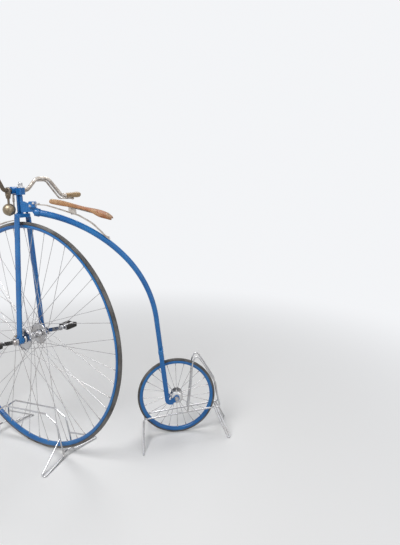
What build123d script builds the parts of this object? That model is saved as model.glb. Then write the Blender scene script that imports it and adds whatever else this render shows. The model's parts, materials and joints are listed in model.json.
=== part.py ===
from build123d import *
import math
import os

os.makedirs("parts", exist_ok=True)

# Penny farthing bicycle, real size in millimetres.
# +Z is up, the floor is z = 0, the bicycle rides toward -X, its rider's left is -Y.
# The origin lies on the floor under the front axle.

# Wheels
front_wheel_radius = 650.0
rear_wheel_radius = 230.0
wheelbase = 806.0
front_tyre_section = 21.0
rear_tyre_section = 19.0
tyre_seat_clearance = 0.3
front_rim_outer_inset = 17.0
front_rim_inner_inset = 36.0
rear_rim_outer_inset = 13.0
rear_rim_inner_inset = 32.0
front_rim_half_width = 11.5
rear_rim_half_width = 10.5

# Front hub, axle and spokes
front_axle_radius = 12.0
front_axle_half_length = 110.0
front_barrel_shoulder = 6.0
front_barrel_radius = 20.0
front_barrel_half_length = 58.0
front_flange_radius = 61.0
front_flange_offset = 50.0
front_flange_thickness = 4.0
front_spoke_radius = 1.4
front_spokes_per_set = 12
front_spoke_tangent_radius = 57.0
front_spoke_outer_lift = 2.0
spoke_hub_clearance = 0.3
spoke_rim_clearance = 0.05
spoke_end_gap = 0.25
front_spoke_rim_offset = 3.0

# Rear hub, axle and spokes
rear_axle_radius = 8.0
rear_axle_half_length = 54.0
rear_axle_end_radius = 7.0
rear_axle_shoulder = 0.5
rear_barrel_radius = 17.0
rear_hub_face_radius = 23.0
rear_flange_radius = 36.0
rear_flange_offset = 24.0
rear_flange_thickness = 4.0
rear_hub_half_length = 27.0
rear_spoke_radius = 1.3
rear_spokes_per_side = 12
rear_spoke_rim_offset = 2.5

# Steering head
head_rake = 0.0
parked_turn = 35.0
running_clearance = 0.05
crown_tyre_gap = 24.0
crown_height = 20.0
crown_round = 4.0
casting_overlap = 2.0
crown_half_width = 46.0
crown_length = 40.0
head_wall_front = 24.0
head_wall_thickness = 11.0
head_wall_half_width = 14.0
head_wall_corner = 3.0
head_wall_height = 103.0
head_block_height = 37.0
head_block_back = 18.0
head_block_half_width = 18.0
head_block_corner = 8.0
spindle_radius = 8.0
spindle_pin_radius = 6.5
spindle_lower_gap = 7.0
spindle_upper_gap = 6.0
spindle_lower_pin = 14.0
spindle_upper_pin = 15.0
top_disc_radius = 19.0
top_disc_height = 7.0
adjuster_radius = 11.0
adjuster_height = 26.0
adjuster_round = 6.0

# Front fork
fork_crown_offset = 36.0
fork_axle_offset = 78.0
fork_blade_length = 37.0
fork_blade_thickness = 14.0
bearing_radius = 22.0
bearing_half_length = 13.0

# Handlebar
lug_forward = 38.0
lug_drop = 13.0
lug_radius = 20.0
lug_half_length = 30.0
bar_radius = 10.5
grip_length = 100.0
grip_end_wall = 8.0

# Brake and bell
lever_radius = 5.0
lever_ahead_of_lug = 26.0
lever_drop = 15.0
lever_guide_start = 10.0
lever_guide_length = 17.0
lever_guide_radius = 12.0
lever_guide_clearance = 0.2
spoon_gap = 7.0
spoon_thickness = 4.0
spoon_half_width = 13.0
spoon_first_angle = 94.5
spoon_last_angle = 107.0
brake_rod_radius = 4.0
bell_outward = 51.0
bell_clamp_radius = 17.0
bell_clamp_half_length = 7.0
bell_yoke_width = 20.0
bell_yoke_drop = 42.0
bell_yoke_slot_length = 16.0
bell_yoke_slot_width = 9.0
bell_radius = 33.0
bell_drop = 102.0
bell_neck_radius = 6.0
bell_neck_overlap = 1.0
bell_neck_clearance = 2.0
bell_waist_depth = 2.0
bell_waist_height = 2.4

# Neck, backbone and rear fork
neck_half_thickness = 7.0
neck_bracket_back = 57.0
neck_bracket_rise = 49.0
neck_bracket_length = 34.0
neck_bracket_height = 32.0
neck_bracket_corner = 6.0
neck_bracket_margin = 3.0
collar_radius = 21.5
collar_length = 18.0
backbone_start_back = 86.0
backbone_start_rise = 2.5
backbone_start_slope = -11.7
backbone_upper_sweep = 37.5
backbone_lower_sweep = 35.5
backbone_tail = 179.5
backbone_end_lead = 84.5
backbone_end_rise = 295.6
backbone_top_tube_radius = 18.0
backbone_tail_tube_radius = 14.0
rear_fork_offset = 38.0
rear_blade_thickness = 9.0
rear_blade_width = 25.0
rear_elbow_radius = 18.0
rear_elbow_drop = 22.0
rear_elbow_run_end = 22.0
rear_eye_margin = 4.0
rear_crown_height = 22.0
rear_crown_length = 30.0
rear_crown_margin = 3.0
rear_crown_round = 5.0

# Crank and pedal
crank_throw = 130.0
crank_thickness = 12.0
crank_inner_face = 97.0
crank_width = 22.0
crank_boss_radius = 20.0
crank_eye_margin = 2.0
left_crank_angle = 195.0
pedal_pin_radius = 6.0
pedal_pin_end = 4.0
pedal_gap = 6.0
pedal_length = 78.0
pedal_plate_thickness = 4.0
pedal_plate_width = 62.0
pedal_sleeve_radius = 10.0
pedal_tread_offset = 24.0
pedal_tread_width = 21.0
pedal_tread_height = 26.0
pedal_tread_corner = 5.0
pedal_tread_gap = 0.3

# Saddle and its spring
spring_width = 30.0
spring_thickness = 5.0
spring_seat_back = 440.0
spring_seat_half_run = 14.0
spring_seat_gap = 0.3
saddle_nose_half_width = 22.0
saddle_back_half_width = 78.0
saddle_flap_thickness = 5.0
saddle_rail_radius = 4.5
saddle_rail_offset = 11.0

# Wire stands
stand_wire_radius = 4.5
front_stand_offset = 34.0
rear_stand_offset = 32.0
tie_end_gap = 0.3

# Frames of reference
steering = Plane(
    Location((0, 0, front_wheel_radius), (0, head_rake, 0)) * Location((0, 0, 0), (0, 0, -parked_turn))
)
turned_floor = Plane(Location((0, 0, 0), (0, 0, -parked_turn)))
rear_floor = Plane(origin=(wheelbase, 0, 0))
steering_side = Plane(origin=steering.origin, x_dir=steering.x_dir, z_dir=-steering.y_dir)
head_straight = Plane(Location((0, 0, front_wheel_radius), (0, head_rake, 0)))
rear_hub_frame = Plane(origin=(wheelbase, 0, rear_wheel_radius))
front_axle_line = Axis(steering.origin, steering.y_dir)
rear_axle_line = Axis(rear_hub_frame.origin, rear_hub_frame.y_dir)

front_rim_outer_radius = front_wheel_radius - front_rim_outer_inset
front_rim_inner_radius = front_wheel_radius - front_rim_inner_inset
rear_rim_outer_radius = rear_wheel_radius - rear_rim_outer_inset
rear_rim_inner_radius = rear_wheel_radius - rear_rim_inner_inset

# Heights of the head over the front axle, stacked up from the tyre
crown_bottom = front_wheel_radius + crown_tyre_gap
crown_top = crown_bottom + crown_height
head_block_bottom = crown_top + head_wall_height
head_block_top = head_block_bottom + head_block_height
spindle_bottom = crown_top + spindle_lower_gap
spindle_top = head_block_bottom - spindle_upper_gap
spindle_pin_bottom = crown_top - spindle_lower_pin
spindle_pin_top = head_block_bottom + spindle_upper_pin
lug_height = head_block_top - lug_drop
lever_height = lug_height - lever_drop
brake_rod_back = -lug_forward - lever_ahead_of_lug
bell_height = lug_height - bell_drop

# Backbone curve: both arcs' radii follow from the two places that the backbone joins
backbone_start = (backbone_start_back, front_wheel_radius + crown_top + backbone_start_rise)
backbone_slope = math.radians(backbone_start_slope)
middle_slope = backbone_slope - math.radians(backbone_upper_sweep)
tail_slope = middle_slope - math.radians(backbone_lower_sweep)
arcs_reach = wheelbase - backbone_end_lead - backbone_start[0] - backbone_tail * math.cos(tail_slope)
arcs_drop = backbone_start[1] - rear_wheel_radius - backbone_end_rise + backbone_tail * math.sin(tail_slope)
upper_reach = math.sin(backbone_slope) - math.sin(middle_slope)
upper_drop = math.cos(backbone_slope) - math.cos(middle_slope)
lower_reach = math.sin(middle_slope) - math.sin(tail_slope)
lower_drop = math.cos(middle_slope) - math.cos(tail_slope)
arcs_share = upper_reach * lower_drop - upper_drop * lower_reach
backbone_upper_radius = (arcs_reach * lower_drop - arcs_drop * lower_reach) / arcs_share
backbone_lower_radius = (arcs_drop * upper_reach - arcs_reach * upper_drop) / arcs_share
backbone_centre = (
    backbone_start[0] + backbone_upper_radius * math.sin(backbone_slope),
    backbone_start[1] - backbone_upper_radius * math.cos(backbone_slope),
)


def steered(back, right, height):
    """Point given from the front axle in the turned steering assembly."""
    return steering.from_local_coords(Vector(back, right, height))


def steered_plane(back, right, height, along):
    """Plane on a steered point whose normal follows a steered direction."""
    base = steered(back, right, height)
    tip = steered(back + along[0], right + along[1], height + along[2])
    return Plane(origin=base, z_dir=tip - base)


def over_backbone(back, rise):
    """Side view point at a rise over the centreline of the backbone's upper arc."""
    arc_height = math.sqrt(backbone_upper_radius**2 - (back - backbone_centre[0]) ** 2)
    return (back, backbone_centre[1] + arc_height + rise)


# Tyres and rims
wheel_rings = [
    # name, section plane, axle, radius, tyre section, rim outer, rim inner, rim half width
    ("front", steering, front_axle_line, front_wheel_radius, front_tyre_section,
     front_rim_outer_radius, front_rim_inner_radius, front_rim_half_width),
    ("rear", rear_hub_frame, rear_axle_line, rear_wheel_radius, rear_tyre_section,
     rear_rim_outer_radius, rear_rim_inner_radius, rear_rim_half_width),
]
for name, section, axle, radius, tyre, rim_outer, rim_inner, half_width in wheel_rings:
    tyre_centre = radius - tyre / 2
    with BuildPart() as ring_tyre:
        with BuildSketch(section):
            with Locations((tyre_centre, 0)):
                Circle(tyre / 2)
        revolve(axis=axle)
    ring_tyre.part.label = f"{name}_tyre"
    export_step(ring_tyre.part, f"parts/{name}_tyre.step")

    seat_radius = tyre / 2 + tyre_seat_clearance
    seat_half_width = math.sqrt(seat_radius**2 - (tyre_centre - rim_outer) ** 2)
    with BuildPart() as ring_rim:
        with BuildSketch(section):
            with BuildLine():
                Line((rim_outer, -half_width), (rim_outer, -seat_half_width))
                ThreePointArc(
                    (rim_outer, -seat_half_width),
                    (tyre_centre - seat_radius, 0),
                    (rim_outer, seat_half_width),
                )
                Line((rim_outer, seat_half_width), (rim_outer, half_width))
                ThreePointArc((rim_outer, half_width), (rim_inner, 0), (rim_outer, -half_width))
            make_face()
        revolve(axis=axle)
    ring_rim.part.label = f"{name}_rim"
    export_step(ring_rim.part, f"parts/{name}_rim.step")

# Front hub with its axle: half profile as lateral position and radius
front_hub_steps = [
    # lateral, radius
    (front_axle_half_length, front_axle_radius),
    (front_barrel_half_length, front_axle_radius),
    (front_barrel_half_length, front_barrel_radius),
    (front_flange_offset + front_flange_thickness / 2, front_barrel_radius + front_barrel_shoulder),
    (front_flange_offset + front_flange_thickness / 2, front_flange_radius),
    (front_flange_offset - front_flange_thickness / 2, front_flange_radius),
    (front_flange_offset - front_flange_thickness / 2, front_barrel_radius + front_barrel_shoulder),
    (front_flange_offset - 4 * front_flange_thickness, front_barrel_radius),
]
front_hub_outline = [(radius, lateral) for lateral, radius in front_hub_steps]
front_hub_outline += [(radius, -lateral) for lateral, radius in reversed(front_hub_steps)]
with BuildPart() as front_hub:
    with BuildSketch(steering):
        with BuildLine():
            Polyline(
                (0, front_axle_half_length), *front_hub_outline, (0, -front_axle_half_length), close=True
            )
        make_face()
    revolve(axis=front_axle_line)
front_hub.part.label = "front_hub"
export_step(front_hub.part, "parts/front_hub.step")

# Front spokes, tangent to the hub flanges in four sets
spoke_tip_radius = front_rim_inner_radius - spoke_rim_clearance
spoke_reach = math.sqrt(spoke_tip_radius**2 - front_spoke_tangent_radius**2)
spoke_wrap = math.degrees(math.acos(front_spoke_tangent_radius / front_rim_inner_radius))
spoke_lift = front_flange_thickness / 2 + front_spoke_radius + spoke_hub_clearance
front_spoke_sets = [
    # side, turning sense, angle of the first rim end, lateral place of the hub end
    (1, 1, 0.0, front_flange_offset + spoke_lift + front_spoke_outer_lift),
    (1, -1, 15.0, front_flange_offset - spoke_lift),
    (-1, 1, 7.5, front_flange_offset + spoke_lift + front_spoke_outer_lift),
    (-1, -1, 22.5, front_flange_offset - spoke_lift),
]
with BuildPart() as front_spokes:
    for side, sense, rim_angle, hub_lateral in front_spoke_sets:
        spoke_planes = []
        for index in range(front_spokes_per_set):
            angle = math.radians(rim_angle - sense * spoke_wrap + index * 360 / front_spokes_per_set)
            outward = (math.cos(angle), math.sin(angle))
            sideways = (-sense * outward[1], sense * outward[0])
            foot = (front_spoke_tangent_radius * outward[0], front_spoke_tangent_radius * outward[1])
            drop = side * (front_spoke_rim_offset - hub_lateral)
            along = (spoke_reach * sideways[0], drop, spoke_reach * sideways[1])
            spoke_planes.append(steered_plane(foot[0], side * hub_lateral, foot[1], along))
        with BuildSketch(*spoke_planes):
            Circle(front_spoke_radius)
        extrude(amount=math.hypot(spoke_reach, hub_lateral - front_spoke_rim_offset) - spoke_end_gap)
front_spokes.part.label = "front_spokes"
export_step(front_spokes.part, "parts/front_spokes.step")

# Rear hub: half profile as lateral position and radius, bored for the fixed axle
rear_bore_radius = rear_axle_radius + running_clearance
rear_hub_steps = [
    # lateral, radius
    (rear_hub_half_length, rear_bore_radius),
    (rear_hub_half_length, rear_hub_face_radius),
    (rear_flange_offset + rear_flange_thickness / 2, rear_flange_radius),
    (rear_flange_offset - rear_flange_thickness / 2, rear_flange_radius),
    (rear_flange_offset - rear_flange_thickness, rear_barrel_radius),
]
rear_hub_outline = [(radius, lateral) for lateral, radius in rear_hub_steps]
rear_hub_outline += [(radius, -lateral) for lateral, radius in reversed(rear_hub_steps)]
with BuildPart() as rear_hub:
    with BuildSketch(rear_hub_frame):
        with BuildLine():
            Polyline(*rear_hub_outline, close=True)
        make_face()
    revolve(axis=rear_axle_line)
rear_hub.part.label = "rear_hub"
export_step(rear_hub.part, "parts/rear_hub.step")

# Rear spokes, radial from the two flange edges
rear_spoke_start = rear_flange_radius + spoke_hub_clearance
rear_spoke_end = rear_rim_inner_radius - spoke_rim_clearance
with BuildPart() as rear_spokes:
    spoke_planes = []
    drop = rear_spoke_rim_offset - rear_flange_offset
    for side in (1, -1):
        for index in range(rear_spokes_per_side):
            angle = math.radians((index + (side + 1) / 4) * 360 / rear_spokes_per_side)
            outward = Vector(math.cos(angle), 0, math.sin(angle))
            hub_end = rear_hub_frame.origin + outward * rear_spoke_start
            hub_end += Vector(0, side * rear_flange_offset, 0)
            along = outward * (rear_spoke_end - rear_spoke_start) + Vector(0, side * drop, 0)
            spoke_planes.append(Plane(origin=hub_end, z_dir=along))
    with BuildSketch(*spoke_planes):
        Circle(rear_spoke_radius)
    extrude(amount=math.hypot(rear_spoke_end - rear_spoke_start, drop) - spoke_end_gap)
rear_spokes.part.label = "rear_spokes"
export_step(rear_spokes.part, "parts/rear_spokes.step")

# Rear axle: the ends step down outside the fork for whatever is hung on them
rear_axle_core = rear_fork_offset + rear_blade_thickness / 2 + rear_axle_shoulder
with BuildPart() as rear_axle:
    with BuildSketch(Plane(origin=rear_hub_frame.origin, z_dir=(0, -1, 0))):
        Circle(rear_axle_radius)
    extrude(amount=rear_axle_core, both=True)
    with BuildSketch(Plane(origin=rear_hub_frame.origin, z_dir=(0, -1, 0))):
        Circle(rear_axle_end_radius)
    extrude(amount=rear_axle_half_length, both=True)
rear_axle.part.label = "rear_axle"
export_step(rear_axle.part, "parts/rear_axle.step")

# Steering head: crown, front wall, top block and handlebar lug in one casting
with BuildPart() as steering_head:
    with BuildSketch(steering.offset(crown_bottom)):
        SlotOverall(2 * crown_half_width, crown_length, rotation=90)
    extrude(amount=crown_top - crown_bottom)
    fillet(steering_head.faces().sort_by(Axis(steering.origin, steering.z_dir))[-1].edges(), crown_round)
    with BuildSketch(steering.offset(crown_top - casting_overlap)):
        with Locations((head_wall_thickness / 2 - head_wall_front, 0)):
            RectangleRounded(head_wall_thickness, 2 * head_wall_half_width, head_wall_corner)
    extrude(amount=head_block_bottom - crown_top + 2 * casting_overlap)
    with BuildSketch(steering.offset(head_block_bottom)):
        with Locations(((head_block_back - head_wall_front) / 2, 0)):
            RectangleRounded(
                head_wall_front + head_block_back, 2 * head_block_half_width, head_block_corner
            )
    extrude(amount=head_block_top - head_block_bottom)
    with BuildSketch(Plane(origin=steered(-lug_forward, 0, lug_height), x_dir=steering.x_dir,
                           z_dir=-steering.y_dir)):
        Circle(lug_radius)
    extrude(amount=lug_half_length, both=True)
    with BuildSketch(Plane(origin=steered(-lug_forward, 0, lug_height), x_dir=steering.x_dir,
                           z_dir=-steering.y_dir)):
        Circle(bar_radius)
    extrude(amount=lug_half_length, both=True, mode=Mode.SUBTRACT)
    with BuildSketch(Plane(origin=steered(brake_rod_back, lever_guide_start, lever_height),
                           x_dir=steering.x_dir, z_dir=steering.y_dir)):
        Circle(lever_guide_radius)
    extrude(amount=lever_guide_length)
    with BuildSketch(Plane(origin=steered(brake_rod_back, lever_guide_start, lever_height),
                           x_dir=steering.x_dir, z_dir=steering.y_dir)):
        Circle(lever_radius + lever_guide_clearance)
    extrude(amount=lever_guide_length, mode=Mode.SUBTRACT)
    with BuildSketch(steering.offset(spindle_pin_bottom - running_clearance)):
        Circle(spindle_pin_radius + running_clearance)
    extrude(amount=spindle_pin_top - spindle_pin_bottom + 2 * running_clearance, mode=Mode.SUBTRACT)
steering_head.part.label = "steering_head"
export_step(steering_head.part, "parts/steering_head.step")

# Adjusting screw and its disc on top of the head
with BuildPart() as head_adjuster:
    with BuildSketch(steering.offset(head_block_top)):
        Circle(top_disc_radius)
    extrude(amount=top_disc_height)
    with BuildSketch(steering.offset(head_block_top + top_disc_height)):
        Circle(adjuster_radius)
    extrude(amount=adjuster_height)
    fillet(head_adjuster.edges().sort_by(Axis(steering.origin, steering.z_dir))[-1], adjuster_round)
head_adjuster.part.label = "head_adjuster"
export_step(head_adjuster.part, "parts/head_adjuster.step")

# Fork blades and axle bearings
fork_sides = [
    # name, side
    ("left", -1),
    ("right", 1),
]
for name, side in fork_sides:
    blade_direction = (0, side * (fork_crown_offset - fork_axle_offset), crown_bottom)
    blade_base = steered(0, side * fork_axle_offset, 0)
    blade_tip = steered(*[a + b for a, b in zip((0, side * fork_axle_offset, 0), blade_direction)])
    with BuildPart() as blade:
        with BuildSketch(Plane(origin=blade_base, x_dir=steering.x_dir, z_dir=blade_tip - blade_base)):
            SlotOverall(fork_blade_length, fork_blade_thickness)
        extrude(amount=(blade_tip - blade_base).length + fork_blade_thickness)
        split(bisect_by=steering.offset(crown_bottom), keep=Keep.BOTTOM)
        with BuildSketch(Plane(origin=steering.origin, x_dir=steering.x_dir, z_dir=steering.y_dir)):
            Circle(bearing_radius)
        extrude(amount=side * 2 * fork_axle_offset, mode=Mode.SUBTRACT)
    blade.part.label = f"fork_blade_{name}"
    export_step(blade.part, f"parts/fork_blade_{name}.step")

    with BuildPart() as bearing:
        with BuildSketch(Plane(origin=steered(0, side * fork_axle_offset, 0), x_dir=steering.x_dir,
                               z_dir=steering.y_dir)):
            Circle(bearing_radius)
            Circle(front_axle_radius + running_clearance, mode=Mode.SUBTRACT)
        extrude(amount=bearing_half_length, both=True)
    bearing.part.label = f"front_bearing_{name}"
    export_step(bearing.part, f"parts/front_bearing_{name}.step")

# Handlebar: half path as back, outward and rise above the lug
bar_path = [
    # back, outward, rise
    (-lug_forward, 0.0, 0.0),
    (-lug_forward, 74.0, 0.0),
    (-18.0, 122.0, 65.0),
    (2.0, 186.0, 65.0),
    (25.0, 262.0, -37.0),
    (52.0, 375.0, -35.0),
]
bar_bends = [30.0, 40.0, 45.0, 30.0]
for name, side in fork_sides:
    with BuildPart() as bar_half:
        with BuildLine() as bar_line:
            FilletPolyline(
                *[steered(back, side * out, lug_height + rise) for back, out, rise in bar_path],
                radius=bar_bends,
            )
        with BuildSketch(Plane(origin=bar_line.line @ 0, z_dir=bar_line.line % 0)):
            Circle(bar_radius)
        sweep()
    bar_half.part.label = f"handlebar_{name}"
    export_step(bar_half.part, f"parts/handlebar_{name}.step")

# Grips: half profile as length along the bar and radius
grip_steps = [
    # along, radius
    (0.0, 12.5),
    (12.0, 14.0),
    (grip_length * 0.45, 15.0),
    (grip_length * 0.8, 17.0),
    (grip_length - 6.0, 14.5),
    (grip_length, 9.0),
]
grip_bore = bar_radius + running_clearance
grip_back, grip_out, grip_rise = bar_path[-1]
bend_back, bend_out, bend_rise = bar_path[-2]
for name, side in fork_sides:
    bar_end = steered(grip_back, side * grip_out, lug_height + grip_rise)
    bar_bend = steered(bend_back, side * bend_out, lug_height + bend_rise)
    inner_end = bar_end + (bar_bend - bar_end).normalized() * (grip_length - grip_end_wall)
    grip_plane = Plane(origin=inner_end, x_dir=(bar_end - inner_end), z_dir=steering.z_dir)
    with BuildPart() as grip:
        with BuildSketch(grip_plane):
            with BuildLine():
                Line((0, 0), (0, grip_steps[0][1]))
                Spline(*[step for step in grip_steps[:-1]])
                Line(grip_steps[-2], grip_steps[-1])
                Line(grip_steps[-1], (grip_length, 0))
                Line((grip_length, 0), (0, 0))
            make_face()
        revolve(axis=Axis(inner_end, bar_end - inner_end))
        with BuildSketch(Plane(origin=inner_end, z_dir=bar_end - inner_end)):
            Circle(grip_bore)
        extrude(amount=grip_length - grip_end_wall + running_clearance, mode=Mode.SUBTRACT)
    grip.part.label = f"grip_{name}"
    export_step(grip.part, f"parts/grip_{name}.step")

# Brake lever, a turning tube along the right half of the handlebar
lever_path = [
    # back, outward, rise above the lug
    (brake_rod_back, -6.0, -lever_drop),
    (brake_rod_back, 70.0, -lever_drop),
    (-33.0, 124.0, 52.0),
    (-13.0, 182.0, 52.0),
    (10.0, 256.0, -53.0),
    (30.0, 335.0, -57.0),
]
lever_bends = [20.0, 20.0, 24.0, 22.0]
with BuildPart() as brake_lever:
    with BuildLine() as lever_line:
        FilletPolyline(
            *[steered(back, out, lug_height + rise) for back, out, rise in lever_path], radius=lever_bends
        )
    with BuildSketch(Plane(origin=lever_line.line @ 0, z_dir=lever_line.line % 0)):
        Circle(lever_radius)
    sweep()
brake_lever.part.label = "brake_lever"
export_step(brake_lever.part, "parts/brake_lever.step")

# Brake spoon over the front tyre with the rod that pushes it
spoon_radius = front_wheel_radius + spoon_gap
rod_bottom = math.sqrt((spoon_radius + spoon_thickness / 2) ** 2 - brake_rod_back**2)
rod_top = lever_height - lever_radius - running_clearance
spoon_sweep = spoon_last_angle - spoon_first_angle
with BuildPart() as brake_spoon:
    with BuildSketch(steering_side):
        with BuildLine():
            spoon_under = CenterArc((0, 0), spoon_radius, spoon_first_angle, spoon_sweep)
            spoon_over = CenterArc((0, 0), spoon_radius + spoon_thickness, spoon_first_angle, spoon_sweep)
            Line(spoon_under @ 0, spoon_over @ 0)
            Line(spoon_under @ 1, spoon_over @ 1)
        make_face()
    extrude(amount=spoon_half_width, both=True)
    with BuildSketch(steering.offset(rod_bottom)):
        with Locations((brake_rod_back, 0)):
            Circle(brake_rod_radius)
    extrude(amount=rod_top - rod_bottom)
brake_spoon.part.label = "brake_spoon"
export_step(brake_spoon.part, "parts/brake_spoon.step")

# Bell clamp on the left root of the handlebar, with its yoke and neck
bell_top = bell_height + bell_radius
yoke_middle = -(bell_clamp_radius + bell_yoke_drop) / 2
with BuildPart() as bell_clamp:
    clamp_plane = Plane(
        origin=steered(-lug_forward, -bell_outward, lug_height), x_dir=steering.x_dir, z_dir=-steering.y_dir
    )
    with BuildSketch(clamp_plane):
        Circle(bell_clamp_radius)
        with Locations((0, -bell_yoke_drop / 2)):
            Rectangle(bell_yoke_width, bell_yoke_drop)
        Circle(bar_radius, mode=Mode.SUBTRACT)
        with Locations((0, yoke_middle)):
            SlotOverall(bell_yoke_slot_length, bell_yoke_slot_width, rotation=90, mode=Mode.SUBTRACT)
    extrude(amount=bell_clamp_half_length, both=True)
    with BuildSketch(steering.offset(bell_top - bell_neck_overlap)):
        with Locations((-lug_forward, -bell_outward)):
            Circle(bell_neck_radius)
    extrude(amount=lug_height - bell_yoke_drop - bell_top + 2 * bell_neck_overlap)
bell_clamp.part.label = "bell_clamp"
export_step(bell_clamp.part, "parts/bell_clamp.step")

# Globe bell: two domes that meet at a narrow waist
bell_centre = steered(-lug_forward, -bell_outward, bell_height)
with BuildPart() as globe_bell:
    with BuildSketch(Plane(origin=bell_centre, x_dir=steering.x_dir, z_dir=steering.y_dir)):
        with BuildLine():
            CenterArc((0, 0), bell_radius, -90, 180)
            Line((0, bell_radius), (0, -bell_radius))
        make_face()
        with Locations((bell_radius, 0)):
            Rectangle(2 * bell_waist_depth, bell_waist_height, mode=Mode.SUBTRACT)
    revolve(axis=Axis(bell_centre, steering.z_dir))
    with BuildSketch(steering.offset(bell_top - bell_neck_overlap)):
        with Locations((-lug_forward, -bell_outward)):
            Circle(bell_neck_radius + bell_neck_clearance)
    extrude(amount=2 * bell_neck_overlap, mode=Mode.SUBTRACT)
globe_bell.part.label = "globe_bell"
export_step(globe_bell.part, "parts/globe_bell.step")

# Cranks with their pedal pins, and the pedals that turn on them
pedal_inner_face = crank_inner_face + crank_thickness + pedal_gap
crank_sides = [
    # name, side, crank angle above the rear of the axle
    ("left", -1, left_crank_angle),
    ("right", 1, left_crank_angle + 180),
]
for name, side, crank_angle in crank_sides:
    pin_back = crank_throw * math.cos(math.radians(crank_angle))
    pin_height = crank_throw * math.sin(math.radians(crank_angle))
    crank_plane = Plane(
        origin=steered(0, side * crank_inner_face, 0), x_dir=steering.x_dir, z_dir=side * steering.y_dir
    )
    upward = -side
    with BuildPart() as crank:
        with BuildSketch(crank_plane):
            with BuildLine():
                Line((0, 0), (pin_back, upward * pin_height))
            trace(line_width=crank_width)
            Circle(crank_boss_radius)
            with Locations((pin_back, upward * pin_height)):
                Circle(crank_width / 2 + crank_eye_margin)
            Circle(front_axle_radius, mode=Mode.SUBTRACT)
        extrude(amount=crank_thickness)
        with BuildSketch(crank_plane.offset(crank_thickness)):
            with Locations((pin_back, upward * pin_height)):
                Circle(pedal_pin_radius)
        extrude(amount=pedal_gap + pedal_length + pedal_pin_end)
    crank.part.label = f"crank_{name}"
    export_step(crank.part, f"parts/crank_{name}.step")

    pedal_plane = Plane(
        origin=steered(pin_back, side * pedal_inner_face, pin_height),
        x_dir=steering.x_dir, z_dir=side * steering.y_dir,
    )
    with BuildPart() as pedal_frame:
        for place in (0, pedal_length - pedal_plate_thickness):
            with BuildSketch(pedal_plane.offset(place)):
                SlotOverall(pedal_plate_width, 2 * pedal_sleeve_radius)
            extrude(amount=pedal_plate_thickness)
        with BuildSketch(pedal_plane):
            Circle(pedal_sleeve_radius)
        extrude(amount=pedal_length)
        with BuildSketch(pedal_plane):
            Circle(pedal_pin_radius + running_clearance)
        extrude(amount=pedal_length, mode=Mode.SUBTRACT)
    pedal_frame.part.label = f"pedal_frame_{name}"
    export_step(pedal_frame.part, f"parts/pedal_frame_{name}.step")

    with BuildPart() as pedal_treads:
        with BuildSketch(pedal_plane.offset(pedal_plate_thickness + pedal_tread_gap)):
            with Locations((pedal_tread_offset, 0), (-pedal_tread_offset, 0)):
                RectangleRounded(pedal_tread_width, pedal_tread_height, pedal_tread_corner)
        extrude(amount=pedal_length - 2 * (pedal_plate_thickness + pedal_tread_gap))
    pedal_treads.part.label = f"pedal_treads_{name}"
    export_step(pedal_treads.part, f"parts/pedal_treads_{name}.step")

# Neck: spindle in the open head, arm to the backbone and bracket for the saddle spring
collar_rise = (-collar_radius * math.sin(backbone_slope), collar_radius * math.cos(backbone_slope))
neck_top = (backbone_start[0] + collar_rise[0], backbone_start_rise + collar_rise[1])
neck_foot = (backbone_start[0] - collar_rise[0], backbone_start_rise - collar_rise[1])
neck_outline = [
    # back, rise over the fork crown
    (0.0, 8.0),
    (55.0, 8.0),
    (66.0, -14.0),
    neck_foot,
    neck_top,
    (74.0, 32.0),
    (74.0, 64.0),
    (40.0, 66.0),
    (34.0, 56.0),
    (14.0, 67.0),
    (0.0, 68.0),
]
neck_side = Plane(origin=(0, 0, front_wheel_radius + crown_top), x_dir=(1, 0, 0), z_dir=(0, -1, 0))
with BuildPart() as neck:
    with BuildSketch(neck_side):
        with BuildLine():
            Polyline(*neck_outline, close=True)
        make_face()
    extrude(amount=neck_half_thickness, both=True)
    with BuildSketch(neck_side):
        with Locations((neck_bracket_back, neck_bracket_rise)):
            RectangleRounded(neck_bracket_length, neck_bracket_height, neck_bracket_corner)
    extrude(amount=spring_width / 2 + neck_bracket_margin, both=True)
    with BuildSketch(Plane(origin=(backbone_start[0], 0, backbone_start[1]),
                           z_dir=(-math.cos(backbone_slope), 0, -math.sin(backbone_slope)))):
        Circle(collar_radius)
    extrude(amount=collar_length)
    with BuildSketch(head_straight.offset(spindle_bottom)):
        Circle(spindle_radius)
    extrude(amount=spindle_top - spindle_bottom)
    with BuildSketch(head_straight.offset(spindle_pin_bottom)):
        Circle(spindle_pin_radius)
    extrude(amount=spindle_pin_top - spindle_pin_bottom)
neck.part.label = "neck"
export_step(neck.part, "parts/neck.step")

# Backbone: tapering tube that follows the front wheel and drops to the rear fork
with BuildPart() as backbone:
    with BuildLine(Plane.XZ) as backbone_line:
        upper = JernArc(
            backbone_start, (math.cos(backbone_slope), math.sin(backbone_slope)), backbone_upper_radius,
            -backbone_upper_sweep,
        )
        lower = JernArc(upper @ 1, upper % 1, backbone_lower_radius, -backbone_lower_sweep)
        tail = Line(lower @ 1, (lower @ 1) + backbone_tail * (lower % 1))
    with BuildSketch(Plane(origin=backbone_line.line @ 0, z_dir=backbone_line.line % 0)):
        Circle(backbone_top_tube_radius)
    with BuildSketch(Plane(origin=backbone_line.line @ 1, z_dir=backbone_line.line % 1)):
        Circle(backbone_tail_tube_radius)
    sweep(multisection=True)
backbone.part.label = "backbone"
export_step(backbone.part, "parts/backbone.step")

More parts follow.
